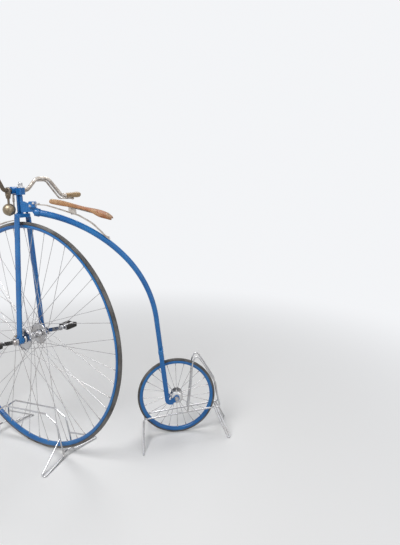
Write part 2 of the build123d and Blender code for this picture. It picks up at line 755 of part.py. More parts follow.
# Rear fork crown: yoke under the tail of the backbone
tail_end = backbone_line.line @ 1
tail_direction = backbone_line.line % 1
rear_crown_plane = Plane(origin=tail_end, x_dir=(1, 0, 0), z_dir=tail_direction)
crown_span = 2 * (rear_fork_offset + rear_crown_margin) + rear_blade_thickness
with BuildPart() as rear_fork_crown:
    with BuildSketch(rear_crown_plane):
        SlotOverall(crown_span, rear_crown_length, rotation=90)
    extrude(amount=rear_crown_height)
    fillet(rear_fork_crown.faces().sort_by(Axis(tail_end, tail_direction))[0].edges(), rear_crown_round)
rear_fork_crown.part.label = "rear_fork_crown"
export_step(rear_fork_crown.part, "parts/rear_fork_crown.step")

# Rear fork blades: flat arms that hook back and up to the axle
blade_top = tail_end + tail_direction * rear_crown_height
elbow_height = rear_wheel_radius - rear_elbow_drop
elbow_back = blade_top.X - (blade_top.Z - elbow_height) * tail_direction.X / tail_direction.Z
elbow_end = wheelbase - rear_elbow_run_end
rear_blade_path = [
    # back, height above the floor
    (blade_top.X, blade_top.Z),
    (elbow_back, elbow_height),
    (elbow_end, elbow_height),
]
for name, side in fork_sides:
    with BuildPart() as rear_blade:
        with BuildSketch(Plane.XZ.offset(-side * rear_fork_offset)):
            with BuildLine():
                FilletPolyline(*rear_blade_path, radius=rear_elbow_radius)
            trace(line_width=rear_blade_width)
            with BuildLine():
                Line((elbow_end - rear_blade_width / 2, elbow_height), (wheelbase, rear_wheel_radius))
            trace(line_width=rear_blade_width)
            with Locations((wheelbase, rear_wheel_radius)):
                Circle(rear_blade_width / 2 + rear_eye_margin)
                Circle(rear_axle_radius, mode=Mode.SUBTRACT)
        extrude(amount=rear_blade_thickness / 2, both=True)
    rear_blade.part.label = f"rear_fork_{name}"
    export_step(rear_blade.part, f"parts/rear_fork_{name}.step")

# Saddle spring: flat steel strip from the neck bracket back to the backbone
seat_share = (spring_seat_back - backbone_centre[0]) / backbone_upper_radius
seat_swept = math.degrees(math.asin(seat_share)) + backbone_start_slope
seat_length = math.radians(seat_swept) * backbone_upper_radius
backbone_length = backbone_tail + math.radians(backbone_upper_sweep) * backbone_upper_radius
backbone_length += math.radians(backbone_lower_sweep) * backbone_lower_radius
tube_taper = (backbone_top_tube_radius - backbone_tail_tube_radius) / backbone_length
seat_radius = backbone_top_tube_radius - tube_taper * seat_length
seat_lift = backbone_upper_radius + seat_radius + spring_seat_gap + spring_thickness / 2
seat_drop = math.sqrt(1 - seat_share**2)
seat_middle = (backbone_centre[0] + seat_lift * seat_share, backbone_centre[1] + seat_lift * seat_drop)
seat_step = (spring_seat_half_run * seat_drop, -spring_seat_half_run * seat_share)
spring_path = [
    # back, rise over the backbone
    over_backbone(neck_bracket_back + neck_bracket_length / 2, 42.1),
    over_backbone(128.0, 50.3),
    over_backbone(300.0, 54.5),
    over_backbone(372.0, 49.6),
    (seat_middle[0] - seat_step[0], seat_middle[1] - seat_step[1]),
    (seat_middle[0] + seat_step[0], seat_middle[1] + seat_step[1]),
]
spring_bends = [120.0, 120.0, 160.0, 100.0]
with BuildPart() as saddle_spring:
    with BuildSketch(Plane.XZ):
        with BuildLine():
            FilletPolyline(*spring_path, radius=spring_bends)
        trace(line_width=spring_thickness)
    extrude(amount=spring_width / 2, both=True)
    split(bisect_by=Plane(origin=(spring_path[0][0], 0, 0), z_dir=(1, 0, 0)), keep=Keep.TOP)
saddle_spring.part.label = "saddle_spring"
export_step(saddle_spring.part, "parts/saddle_spring.step")

# Saddle frame: nose plate, back plate, two rails between them and the clamp on the spring
rail_start = over_backbone(196.0, 77.8)
rail_end = over_backbone(432.0, 135.7)
rail_length = math.hypot(rail_end[0] - rail_start[0], rail_end[1] - rail_start[1])
rail_plane = Plane(
    origin=(rail_start[0], 0, rail_start[1]), x_dir=(0, 1, 0),
    z_dir=(rail_end[0] - rail_start[0], 0, rail_end[1] - rail_start[1]),
)
saddle_plates = [
    # half width, then corners as back and rise over the backbone
    (15.0, (181.0, 82.6), (211.0, 87.8), (210.2, 83.2), (180.2, 78.0)),
    (58.0, (415.0, 136.6), (450.0, 151.7), (448.6, 146.6), (413.6, 131.7)),
    (21.0, (250.0, 82.7), (284.0, 88.0), (284.0, 55.0), (250.0, 51.5)),
]
with BuildPart() as saddle_frame:
    with BuildSketch(rail_plane):
        with Locations((saddle_rail_offset, 0), (-saddle_rail_offset, 0)):
            Circle(saddle_rail_radius)
    extrude(amount=rail_length)
    for half_width, *corners in saddle_plates:
        with BuildSketch(Plane.XZ):
            with BuildLine():
                Polyline(*[over_backbone(*corner) for corner in corners], close=True)
            make_face()
        extrude(amount=half_width, both=True)
saddle_frame.part.label = "saddle_frame"
export_step(saddle_frame.part, "parts/saddle_frame.step")

# Saddle leather: side profile trimmed to the plan, hollow between its side flaps
saddle_outline = [
    # back, rise over the backbone
    (156.0, 73.2),
    (160.0, 89.4),
    (216.0, 102.7),
    (320.0, 114.2),
    (426.0, 154.0),
    (468.0, 166.7),
    (484.0, 149.3),
    (474.0, 134.1),
    (459.0, 136.9),
    (440.0, 127.1),
    (413.0, 119.1),
    (371.0, 117.9),
    (317.0, 98.6),
    (261.0, 84.6),
    (235.0, 77.3),
    (208.0, 74.7),
    (181.0, 71.1),
]
saddle_hollow = [
    # back, rise over the backbone
    (170.0, 30.0),
    (170.0, 81.3),
    (213.0, 88.6),
    (319.0, 101.7),
    (413.0, 136.1),
    (452.0, 153.0),
    (474.0, 134.1),
    (474.0, 30.0),
]
saddle_plan = [
    # back, half width
    (150.0, 14.0),
    (156.0, saddle_nose_half_width),
    (250.0, saddle_nose_half_width + 6),
    (330.0, 44.0),
    (400.0, 70.0),
    (440.0, saddle_back_half_width),
    (478.0, saddle_back_half_width - 12),
    (492.0, 40.0),
]
saddle_solids = []
for corners, margin in ((saddle_outline, 0), (saddle_hollow, saddle_flap_thickness)):
    plan_edge = [(back, half - margin) for back, half in saddle_plan]
    with BuildPart() as trimmed:
        with BuildSketch(Plane.XZ):
            with BuildLine():
                Polyline(*[over_backbone(*corner) for corner in corners], close=True)
            make_face()
        extrude(amount=saddle_back_half_width, both=True)
        with BuildSketch(Plane.XY):
            with BuildLine():
                Polyline(*plan_edge, *[(back, -half) for back, half in reversed(plan_edge)], close=True)
            make_face()
        extrude(amount=over_backbone(*saddle_outline[2])[1] + saddle_back_half_width, mode=Mode.INTERSECT)
    saddle_solids.append(trimmed.part)
with BuildPart() as saddle:
    add(saddle_solids[0])
    add(saddle_solids[1], mode=Mode.SUBTRACT)
saddle.part.label = "saddle"
export_step(saddle.part, "parts/saddle.step")

# Wire stands: bent wires either side of each wheel with feet spread on the floor
front_stand_wire = [
    # back, outward, height above the floor
    (-310.7, 41.3, 104.0),
    (-280.0, 190.0, stand_wire_radius),
    (-304.0, 190.0, stand_wire_radius),
    (-316.0, front_stand_offset, 22.0),
    (-308.0, front_stand_offset, 145.0),
    (-238.0, front_stand_offset, 192.0),
    (110.0, front_stand_offset, 228.0),
    (192.0, front_stand_offset, 190.0),
    (236.0, front_stand_offset, 14.0),
    (266.0, 190.0, stand_wire_radius),
    (242.0, 190.0, stand_wire_radius),
    (213.5, 41.3, 104.0),
]
front_stand_bends = [9.0, 9.0, 10.0, 25.0, 30.0, 30.0, 25.0, 10.0, 9.0, 9.0]
rear_stand_wire = [
    # back from the rear axle, outward, height above the floor
    (-198.0, 206.0, stand_wire_radius),
    (-198.0, 190.0, stand_wire_radius),
    (-200.0, rear_stand_offset, 110.0),
    (256.0, rear_stand_offset, 157.0),
    (242.0, rear_stand_offset, 230.0),
    (231.0, rear_stand_offset, 310.0),
    (164.0, rear_stand_offset, 430.0),
    (126.0, rear_stand_offset, 488.0),
    (100.0, rear_stand_offset, 440.0),
    (86.0, rear_stand_offset, 300.0),
    (63.0, rear_stand_offset, 143.2),
]
rear_stand_bends = [9.0, 16.0, 14.0, 40.0, 60.0, 60.0, 16.0, 40.0, 60.0]
rear_stand_leg = [
    # back from the rear axle, outward, height above the floor
    (222.0, 40.8, 153.5),
    (288.0, 110.0, stand_wire_radius),
    (302.0, 110.0, stand_wire_radius),
    (236.0, 40.8, 154.9),
]
rear_leg_bend = 5.5
for name, side in fork_sides:
    with BuildPart() as front_wire:
        with BuildLine() as wire_line:
            FilletPolyline(
                *[turned_floor.from_local_coords(Vector(back, side * outward, height))
                  for back, outward, height in front_stand_wire],
                radius=front_stand_bends,
            )
        with BuildSketch(Plane(origin=wire_line.line @ 0, z_dir=wire_line.line % 0)):
            Circle(stand_wire_radius)
        sweep()
    front_wire.part.label = f"front_stand_{name}"
    export_step(front_wire.part, f"parts/front_stand_{name}.step")

    with BuildPart() as rear_wire:
        with BuildLine() as wire_line:
            FilletPolyline(
                *[(wheelbase + back, side * outward, height) for back, outward, height in rear_stand_wire],
                radius=rear_stand_bends,
            )
        with BuildSketch(Plane(origin=wire_line.line @ 0, z_dir=wire_line.line % 0)):
            Circle(stand_wire_radius)
        sweep()
    rear_wire.part.label = f"rear_stand_{name}"
    export_step(rear_wire.part, f"parts/rear_stand_{name}.step")

    with BuildPart() as rear_leg:
        with BuildLine() as wire_line:
            FilletPolyline(
                *[(wheelbase + back, side * outward, height) for back, outward, height in rear_stand_leg],
                radius=rear_leg_bend,
            )
        with BuildSketch(Plane(origin=wire_line.line @ 0, z_dir=wire_line.line % 0)):
            Circle(stand_wire_radius)
        sweep()
    rear_leg.part.label = f"rear_stand_leg_{name}"
    export_step(rear_leg.part, f"parts/rear_stand_leg_{name}.step")

# Cross wires that join the two sides of each stand under or beside the tyre
stand_ties = [
    # name, base plane, back, height above the floor, half length
    ("front", turned_floor, ((-314.0, 50.0, front_stand_offset - stand_wire_radius - tie_end_gap),
                             (232.0, 30.0, front_stand_offset - stand_wire_radius - tie_end_gap))),
    ("rear", rear_floor, ((-199.0, 60.0, 91.5), (254.6, 80.0, 67.9))),
]
for name, base, places in stand_ties:
    with BuildPart() as ties:
        for back, height, half_length in places:
            with BuildSketch(Plane(origin=base.origin, x_dir=base.x_dir, z_dir=-base.y_dir)):
                with Locations((back, height)):
                    Circle(stand_wire_radius)
            extrude(amount=half_length, both=True)
    ties.part.label = f"{name}_stand_ties"
    export_step(ties.part, f"parts/{name}_stand_ties.step")
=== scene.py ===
import json
import math

import bpy
from bpy.props import FloatProperty, FloatVectorProperty, IntProperty, PointerProperty
from mathutils import Matrix, Vector


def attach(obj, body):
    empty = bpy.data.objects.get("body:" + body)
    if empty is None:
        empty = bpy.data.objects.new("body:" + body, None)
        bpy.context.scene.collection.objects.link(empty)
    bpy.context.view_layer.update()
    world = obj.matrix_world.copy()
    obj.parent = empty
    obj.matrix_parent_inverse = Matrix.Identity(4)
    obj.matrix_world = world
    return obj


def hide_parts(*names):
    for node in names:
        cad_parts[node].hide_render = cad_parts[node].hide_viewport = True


bl_info = {
    "name": "High Wheeler Dressing",
    "version": (1, 0, 0),
    "blender": (4, 5, 0),
    "location": "View3D > Sidebar > High Wheeler",
    "description": "Finishes, fittings and studio for a penny farthing bicycle on its wire stands",
    "category": "Object",
}

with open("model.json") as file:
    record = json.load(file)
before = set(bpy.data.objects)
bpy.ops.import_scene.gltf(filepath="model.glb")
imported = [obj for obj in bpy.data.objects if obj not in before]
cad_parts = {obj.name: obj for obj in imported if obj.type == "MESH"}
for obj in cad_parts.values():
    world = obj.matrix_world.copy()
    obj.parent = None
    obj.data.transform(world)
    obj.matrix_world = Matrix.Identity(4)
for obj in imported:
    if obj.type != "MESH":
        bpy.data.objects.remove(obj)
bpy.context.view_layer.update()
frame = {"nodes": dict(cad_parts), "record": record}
NODES = frame["nodes"]
JOINTS = {joint["name"]: joint for joint in frame["record"]["behaviour"]["joints"]}
SIDES = (("left", -1), ("right", 1))

# What steers is drawn as back, right and up from the front axle and then turned to its parked angle
FRONT_AXLE = JOINTS["front_wheel_spin"]
PARKED_DEGREES = round(math.degrees(math.atan2(-FRONT_AXLE["axis"][0], FRONT_AXLE["axis"][1])))
PARKED_TURN = Matrix.Rotation(math.radians(PARKED_DEGREES), 4, "Z")
STEERED = Matrix.Translation(FRONT_AXLE["pos_m"]) @ PARKED_TURN
REAR_HUB = Matrix.Translation(JOINTS["rear_wheel_spin"]["pos_m"])
ALONG_AXLE = Matrix.Rotation(math.radians(-90), 4, "X")

# Spokes and cranks. A side of -1 is the rider's left, and 1 the right.
SPOKES_PER_SET = 12
SPOKE_STEP = 360 / SPOKES_PER_SET
CRANK_LENGTH = 0.130
CRANK_DEGREES = {-1: 195, 1: 15}

# Middle line of the handlebar, brake rod and bell, in metres from the front axle
BAR_BACK, BAR_UP = -0.038, 0.821
BRAKE_ROD_BACK = -0.064
BELL_LATERAL = -0.051

# The surroundings show in this colour and light the object with this share of it
BACKGROUND = (0.90, 0.91, 0.93)
LIGHT_SHARE = 0.20

FINISHES = {}


# Shader maths written as expressions


class Term:
    """Output socket of a node. Arithmetic on it adds the Math nodes it needs."""

    def __init__(self, graph, socket):
        self.graph = graph
        self.socket = socket

    def maths(self, operation, first, second):
        return self.graph.node("ShaderNodeMath", {"operation": operation}, {0: first, 1: second})

    def __add__(self, other):
        return self.maths("ADD", self, other)

    def __radd__(self, other):
        return self.maths("ADD", other, self)

    def __sub__(self, other):
        return self.maths("SUBTRACT", self, other)

    def __rsub__(self, other):
        return self.maths("SUBTRACT", other, self)

    def __mul__(self, other):
        return self.maths("MULTIPLY", self, other)

    def __rmul__(self, other):
        return self.maths("MULTIPLY", other, self)

    def above(self, low, high):
        """Mask that rises smoothly from 0 at low to 1 at high."""
        return self.graph.node(
            "ShaderNodeMapRange",
            {"interpolation_type": "SMOOTHSTEP"},
            {"Value": self, "From Min": low, "From Max": high},
        )

    def beside(self, output):
        """Another output of the same node."""
        return Term(self.graph, self.socket.node.outputs[output])


class Graph:
    """Node tree of a material or of the world. node() adds any node to it."""

    def __init__(self, tree):
        self.tree = tree

    def node(self, kind, settings=None, sockets=None, output=0):
        made = self.tree.nodes.new(kind)
        for key, value in (settings or {}).items():
            setattr(made, key, value)
        for key, value in (sockets or {}).items():
            self.feed(made.inputs[key], value)
        return Term(self, made.outputs[output])

    def feed(self, socket, value):
        if isinstance(value, Term):
            self.tree.links.new(value.socket, socket)
        elif socket.type == "RGBA":
            socket.default_value = (*value, 1)
        else:
            socket.default_value = value


class Finish(Graph):
    """Procedural material on the Principled shader, in Object coordinates"""

    def __init__(self, name, **constants):
        self.material = bpy.data.materials.new(name)
        self.material.use_nodes = True
        super().__init__(self.material.node_tree)
        self.shader = self.tree.nodes["Principled BSDF"]
        for socket, value in constants.items():
            self.shader.inputs[socket.replace("_", " ")].default_value = value
        self.place = self.node("ShaderNodeTexCoord").beside("Object")

    def surface(self, **sockets):
        for name, value in sockets.items():
            self.feed(self.shader.inputs[name.replace("_", " ")], value)

    def noise(self, scale, detail=4.0, roughness=0.55, stretch=None):
        place = self.place
        if stretch:
            place = self.node("ShaderNodeMapping", None, {"Vector": place, "Scale": stretch})
        return self.node(
            "ShaderNodeTexNoise",
            None,
            {"Vector": place, "Scale": scale, "Detail": detail, "Roughness": roughness},
        )

    def cells(self, scale, feature="F1"):
        sockets = {"Vector": self.place, "Scale": scale}
        return self.node("ShaderNodeTexVoronoi", {"feature": feature}, sockets)

    def blend(self, factor, first, second):
        return self.node(
            "ShaderNodeMix", {"data_type": "RGBA"}, {0: factor, 6: first, 7: second}, output=2
        )

    def relief(self, height, strength, distance):
        sockets = {"Strength": strength, "Distance": distance, "Height": height}
        self.surface(Normal=self.node("ShaderNodeBump", None, sockets))


def gloss_paint(colours):
    finish = Finish("gloss_blue_paint", Coat_Weight=0.30, Coat_Roughness=0.05, Specular_IOR_Level=0.24)
    cloud = finish.noise(7, detail=3)
    grime = finish.noise(26, detail=6, roughness=0.65).above(0.54, 0.74)
    flecks = finish.noise(240, detail=5, roughness=0.7).above(0.70, 0.73)
    chips = flecks * finish.noise(18, detail=2).above(0.5, 0.62)
    base = finish.blend(cloud.above(0.3, 0.7), colours.paint, colours.paint_light)
    base = finish.blend(grime * 0.34, base, colours.paint_grime)
    base = finish.blend(chips * 0.85, base, colours.primer)
    finish.surface(Base_Color=base, Roughness=0.20 + grime * 0.22 + chips * 0.3)
    orange_peel = finish.noise(520, detail=2)
    finish.relief(orange_peel * 0.5 - chips, 0.16, 0.0004)
    return finish.material


def worn_rubber(name, dark, pale, dust):
    finish = Finish(name, Specular_IOR_Level=0.32)
    cloud = finish.noise(9, detail=5)
    scuffs = finish.noise(120, detail=6, roughness=0.75).above(0.46, 0.66)
    cracks = finish.cells(210, "DISTANCE_TO_EDGE")
    split = 1 - cracks.above(0.0, 0.05)
    base = finish.blend(cloud.above(0.36, 0.66), dark, pale)
    base = finish.blend(scuffs * 0.45, base, dust)
    base = finish.blend(split * 0.5 * scuffs, base, dark)
    finish.surface(Base_Color=base, Roughness=0.62 + scuffs * 0.26)
    finish.relief(scuffs * 0.4 - split * 0.6 + finish.noise(700, detail=2) * 0.3, 0.35, 0.0006)
    return finish.material


def metal(name, base_colour, stain, roughness, stain_share, polish_marks=0.05, pits=0.15):
    finish = Finish(name, Specular_IOR_Level=0.5)
    cloud = finish.noise(14, detail=5, roughness=0.6)
    spread = stain_share * 0.3
    tarnish = finish.noise(48, detail=7, roughness=0.7).above(0.62 - spread, 0.84 - spread)
    scratches = finish.noise(90, detail=3, stretch=(1, 1, 14)).above(0.5, 0.75)
    specks = finish.noise(420, detail=3, roughness=0.6).above(0.66, 0.76)
    base = finish.blend(cloud.above(0.35, 0.7) * 0.35, base_colour, stain)
    base = finish.blend(tarnish * stain_share, base, stain)
    finish.surface(
        Base_Color=base,
        Metallic=0.96 - tarnish * 0.35 * stain_share,
        Roughness=roughness + tarnish * 0.24 + scratches * polish_marks + specks * 0.1,
    )
    finish.relief(scratches * 0.3 - specks * 0.7 - tarnish * 0.2, pits, 0.0003)
    return finish.material


def turned_wood(colours):
    finish = Finish("turned_wood", Coat_Weight=0.25, Coat_Roughness=0.22)
    bands = finish.node(
        "ShaderNodeTexWave",
        {"wave_type": "BANDS", "bands_direction": "DIAGONAL"},
        {"Vector": finish.place, "Scale": 34.0, "Distortion": 7.0, "Detail": 3.0, "Detail Scale": 2.2},
    )
    pores = finish.noise(260, detail=4, stretch=(0.3, 1, 3)).above(0.52, 0.7)
    handled = finish.noise(22, detail=3).above(0.42, 0.7)
    base = finish.blend(bands * 0.55, colours.wood, colours.wood_dark)
    base = finish.blend(pores * 0.55, base, colours.wood_dark)
    base = finish.blend(handled * 0.4, base, colours.wood_worn)
    finish.surface(Base_Color=base, Roughness=0.34 + pores * 0.2 + handled * 0.1)
    finish.relief(1 - pores, 0.2, 0.0004)
    return finish.material


def saddle_leather(colours):
    finish = Finish("saddle_leather", Specular_IOR_Level=0.22)
    back = finish.node("ShaderNodeSeparateXYZ", None, {0: finish.place})
    grain = finish.cells(330, "DISTANCE_TO_EDGE").above(0.0, 0.16)
    creases = finish.noise(34, detail=6, roughness=0.7, stretch=(0.5, 1.6, 1)).above(0.55, 0.66)
    sun = finish.noise(9, detail=3).above(0.35, 0.68)
    rubbed = finish.noise(19, detail=4).above(0.36, 0.60)
    oiled = finish.noise(70, detail=5).above(0.55, 0.72)
    waist = back.above(0.255, 0.31) * (1 - back.above(0.445, 0.475))
    base = finish.blend(sun, colours.leather, colours.leather_pale)
    base = finish.blend(rubbed * waist * 0.85, base, colours.leather_red)
    # How far a place lies under a line along the saddle's top, which falls to the back. Below that line the
    # leather gets painted shade, darker on the saddle's lower sides.
    line_height, line_fall = 1.461, 0.274
    drop = line_height - back * line_fall - back.beside("Z")
    base = finish.blend(drop.above(0.006, 0.030) * 0.60, base, colours.leather_painted_shade)
    base = finish.blend(oiled * 0.3, base, colours.leather_dark)
    base = finish.blend(creases * 0.5, base, colours.leather_dark)
    base = finish.blend((1 - grain) * 0.26, base, colours.leather_dark)
    finish.surface(Base_Color=base, Roughness=0.50 + creases * 0.18 + (1 - sun) * 0.08)
    finish.relief(grain * 0.5 - creases * 0.8, 0.30, 0.0005)
    return finish.material


def pale_floor():
    finish = Finish("studio_floor", Emission_Strength=1.0, Roughness=0.9, Specular_IOR_Level=0.0)
    distance = finish.node("ShaderNodeVectorMath", {"operation": "LENGTH"}, {0: finish.place})
    far = distance.beside("Value").above(1.0, 3.8)
    tone = finish.blend(finish.noise(0.8, detail=2), (0.85, 0.85, 0.85), (0.87, 0.87, 0.87))
    finish.surface(
        Base_Color=finish.blend(far, tone, (0, 0, 0)),
        Emission_Color=finish.blend(far, (0, 0, 0), BACKGROUND),
    )
    return finish.material


# Modelling helpers


def clear_selection():
    if bpy.context.object and bpy.context.object.mode != "OBJECT":
        bpy.ops.object.mode_set(mode="OBJECT")
    bpy.ops.object.select_all(action="DESELECT")


def only(obj):
    clear_selection()
    obj.select_set(True)
    bpy.context.view_layer.objects.active = obj
    return obj


def aim(origin, direction):
    """Matrix that stands a +Z piece on origin and points it along direction."""
    turn = Vector(direction).to_track_quat("Z", "Y").to_matrix().to_4x4()
    return Matrix.Translation(origin) @ turn


def placed(obj, matrix):
    """Writes the matrix into the mesh, so the object stays at the origin."""
    obj.data.transform(matrix)
    obj.matrix_world = Matrix.Identity(4)
    return obj


def turned(name, steps, segments=24):
    """Solid turned about +Z: a disc extruded and scaled step by step, each a height and a radius."""
    clear_selection()
    height, radius = steps[0]
    bpy.ops.mesh.primitive_circle_add(
        vertices=segments, radius=radius, fill_type="NGON", location=(0, 0, 0)
    )
    obj = bpy.context.object
    obj.name = name
    bpy.ops.object.mode_set(mode="EDIT")
    bpy.ops.mesh.select_all(action="SELECT")
    bpy.ops.transform.translate(value=(0, 0, height))
    for (low, before), (high, after) in zip(steps, steps[1:]):
        bpy.ops.mesh.extrude_region_move(TRANSFORM_OT_translate={"value": (0, 0, high - low)})
        share = after / before
        bpy.ops.transform.resize(value=(share, share, 1), center_override=(0, 0, high))
    bpy.ops.mesh.select_all(action="SELECT")
    bpy.ops.mesh.normals_make_consistent(inside=False)
    bpy.ops.object.mode_set(mode="OBJECT")
    return obj


def bored(obj):
    """Turned solid whose end faces have the same radius, opened there and given the wall of a bore."""
    only(obj)
    bpy.ops.object.mode_set(mode="EDIT")
    bpy.ops.mesh.select_mode(type="FACE")
    bpy.ops.mesh.select_all(action="DESELECT")
    bpy.ops.mesh.select_face_by_sides(number=4, type="GREATER")
    bpy.ops.mesh.delete(type="FACE")
    bpy.ops.mesh.select_mode(type="EDGE")
    bpy.ops.mesh.select_non_manifold()
    bpy.ops.mesh.bridge_edge_loops()
    bpy.ops.mesh.select_mode(type="VERT")
    bpy.ops.mesh.select_all(action="SELECT")
    bpy.ops.mesh.normals_make_consistent(inside=False)
    bpy.ops.object.mode_set(mode="OBJECT")
    return obj


def hoop(name, radius, wire, flat=1.0, segments=40):
    """Ring about +Z: a wire's section is stretched along Z and spun all the way around."""
    clear_selection()
    bpy.ops.mesh.primitive_circle_add(
        vertices=10, radius=wire, location=(radius, 0, 0), rotation=(math.radians(90), 0, 0)
    )
    obj = bpy.context.object
    obj.name = name
    bpy.ops.object.transform_apply()
    bpy.ops.object.mode_set(mode="EDIT")
    bpy.ops.mesh.select_all(action="SELECT")
    bpy.ops.transform.resize(value=(1, 1, flat), center_override=(0, 0, 0))
    bpy.ops.mesh.spin(steps=segments, angle=math.tau, center=(0, 0, 0), axis=(0, 0, 1))
    bpy.ops.mesh.select_all(action="SELECT")
    bpy.ops.mesh.remove_doubles(threshold=1e-6)
    bpy.ops.mesh.normals_make_consistent(inside=False)
    bpy.ops.object.mode_set(mode="OBJECT")
    bpy.ops.object.shade_smooth()
    return obj


def smooth_under(obj, degrees):
    """Shades smooth wherever two faces meet at less than this angle."""
    only(obj)
    bpy.ops.object.shade_smooth_by_angle(angle=math.radians(degrees))
    return obj


def softened(obj, width, segments=2, angle=40):
    """Bevels the sharp edges and shades the rest smooth."""
    only(obj)
    bevel = obj.modifiers.new("edge_round", "BEVEL")
    bevel.width = width
    bevel.segments = segments
    bevel.limit_method = "ANGLE"
    bevel.angle_limit = math.radians(angle)
    bpy.ops.object.modifier_apply(modifier=bevel.name)
    return smooth_under(obj, angle)


def hex_head(name, across, height, washer=1.25):
    """Hexagon bolt head on its round washer, standing on z = 0."""
    clear_selection()
    bpy.ops.mesh.primitive_cylinder_add(
        vertices=6, radius=across / math.sqrt(3), depth=height, location=(0, 0, height * 0.5)
    )
    head = bpy.context.object
    bpy.ops.object.transform_apply()
    softened(head, height * 0.14)
    rim = across * 0.5 * washer
    disc = turned("washer", [(0, rim), (height * 0.22, rim)], 20)
    softened(disc, height * 0.06, 1)
    placed(head, Matrix.Translation((0, 0, height * 0.2)))
    return joined(name, [head, disc])


def domed(name, radius, height, segments=16):
    """Rivet head: a disc raised in four shrinking steps."""
    steps = [(0, radius)]
    for share in (0.35, 0.68, 0.9, 1.0):
        steps.append((height * share, radius * math.sqrt(max(0.02, 1 - share**2))))
    return smooth_under(turned(name, steps, segments), 50)


def spoke_nipple(sizes, shank):
    """Nipple of a spoke: a plain shank up to this share of its length, then a wider shoulder."""
    length = sizes.nipple_length
    radius = sizes.nipple_radius
    shoulder = radius * 1.3
    steps = [
        (0, radius * 0.72),
        (length * 0.12, radius),
        (length * shank, radius),
        (length * (shank + 0.12), shoulder),
        (length * 1.02, shoulder),
    ]
    return turned("nipple", steps, 8)


def joined(name, pieces):
    clear_selection()
    for piece in pieces:
        piece.select_set(True)
    bpy.context.view_layer.objects.active = pieces[0]
    bpy.ops.object.join()
    obj = bpy.context.object
    obj.name = name
    obj.data.name = name
    return obj


def repeated(name, source, matrices):
    """One object of many copies of a source mesh, which is used up."""
    pieces = []
    for matrix in matrices:
        piece = source.copy()
        piece.data = source.data.copy()
        bpy.context.scene.collection.objects.link(piece)
        pieces.append(placed(piece, matrix))
    bpy.data.objects.remove(source)
    return joined(name, pieces)


def finished(obj, body, finish, replaces=()):
    """Last step of every piece: finish, riding body and material slot."""
    obj.data.materials.clear()
    obj.data.materials.append(FINISHES[finish])
    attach(obj, body)
    if replaces:
        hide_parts(*replaces)
    return obj


def fitted(name, source, places, body, finish):
    """Copies of a source at all its places, finished as one piece."""
    return finished(repeated(name, source, places), body, finish)


# Settings that a user would change


def length_setting(name, description, default):
    return FloatProperty(name=name, description=description, default=default, unit="LENGTH")


def colour_setting(name, description, default):
    return FloatVectorProperty(name=name, description=description, default=default, subtype="COLOR")


class HighWheelerSizes(bpy.types.PropertyGroup):
    nipple_length: length_setting("Nipple Length", "Length of a spoke nipple under the rim", 0.013)
    nipple_radius: length_setting("Nipple Radius", "Radius of a spoke nipple", 0.0028)
    bolt_across: length_setting("Bolt Size", "Size of a bolt head across its flats", 0.013)
    leather_thickness: length_setting("Leather Thickness", "Thickness of the saddle leather", 0.0042)
    pedal_ribs: IntProperty(name="Pedal Ribs", description="Ribs along each pedal rubber", default=9)


class HighWheelerColours(bpy.types.PropertyGroup):
    paint: colour_setting("Paint", "Frame and rim paint", (0.010, 0.112, 0.350))
    paint_light: colour_setting("Faded Paint", "Paint where the sun has faded it", (0.022, 0.165, 0.430))
    paint_grime: colour_setting("Paint Grime", "Dust and oil on the paint", (0.070, 0.105, 0.165))
    primer: colour_setting("Primer", "Grey under a paint chip", (0.22, 0.23, 0.25))
    tyre: colour_setting("Tyre", "Solid rubber tyre", (0.060, 0.057, 0.055))
    tyre_worn: colour_setting("Worn Tyre", "Tyre where it is greyed", (0.155, 0.147, 0.140))
    dust: colour_setting("Dust", "Dust on rubber", (0.20, 0.185, 0.165))
    nickel: colour_setting("Nickel", "Dull nickel plate", (0.600, 0.560, 0.515))
    nickel_stain: colour_setting("Nickel Stain", "Brown stain in the nickel", (0.245, 0.198, 0.160))
    nickel_browned: colour_setting(
        "Browned Nickel", "Nickel worn brown on the left bar", (0.185, 0.158, 0.132)
    )
    chrome: colour_setting("Bright Plate", "Chrome or zinc plate", (0.57, 0.575, 0.59))
    hub_shell: colour_setting("Hub Shell", "White plate of the rear hub", (0.80, 0.81, 0.83))
    steel: colour_setting("Steel", "Plain steel", (0.50, 0.50, 0.51))
    rust: colour_setting("Rust", "Light rust on steel", (0.22, 0.13, 0.08))
    brass: colour_setting("Brass", "Aged brass", (0.370, 0.305, 0.215))
    brass_stain: colour_setting("Brass Stain", "Brown tarnish on brass", (0.15, 0.11, 0.07))
    wood: colour_setting("Wood", "Pear wood of the grips", (0.330, 0.213, 0.092))
    wood_dark: colour_setting("Wood Grain", "Dark grain lines", (0.16, 0.092, 0.042))
    wood_worn: colour_setting("Worn Wood", "Wood where hands have rubbed it", (0.385, 0.272, 0.145))
    leather: colour_setting("Leather", "Tan saddle leather", (0.375, 0.185, 0.080))
    leather_pale: colour_setting("Pale Leather", "Sun bleached leather", (0.430, 0.262, 0.138))
    leather_red: colour_setting("Red Leather", "Rubbed red patches", (0.330, 0.120, 0.058))
    # Painted shade: the darker colour laid on the saddle's lower sides
    leather_painted_shade: colour_setting("Leather Edge", "Leather along its lower edges", (0.25, 0.095, 0.038))
    leather_dark: colour_setting("Dark Leather", "Creases and oil in the leather", (0.13, 0.06, 0.028))


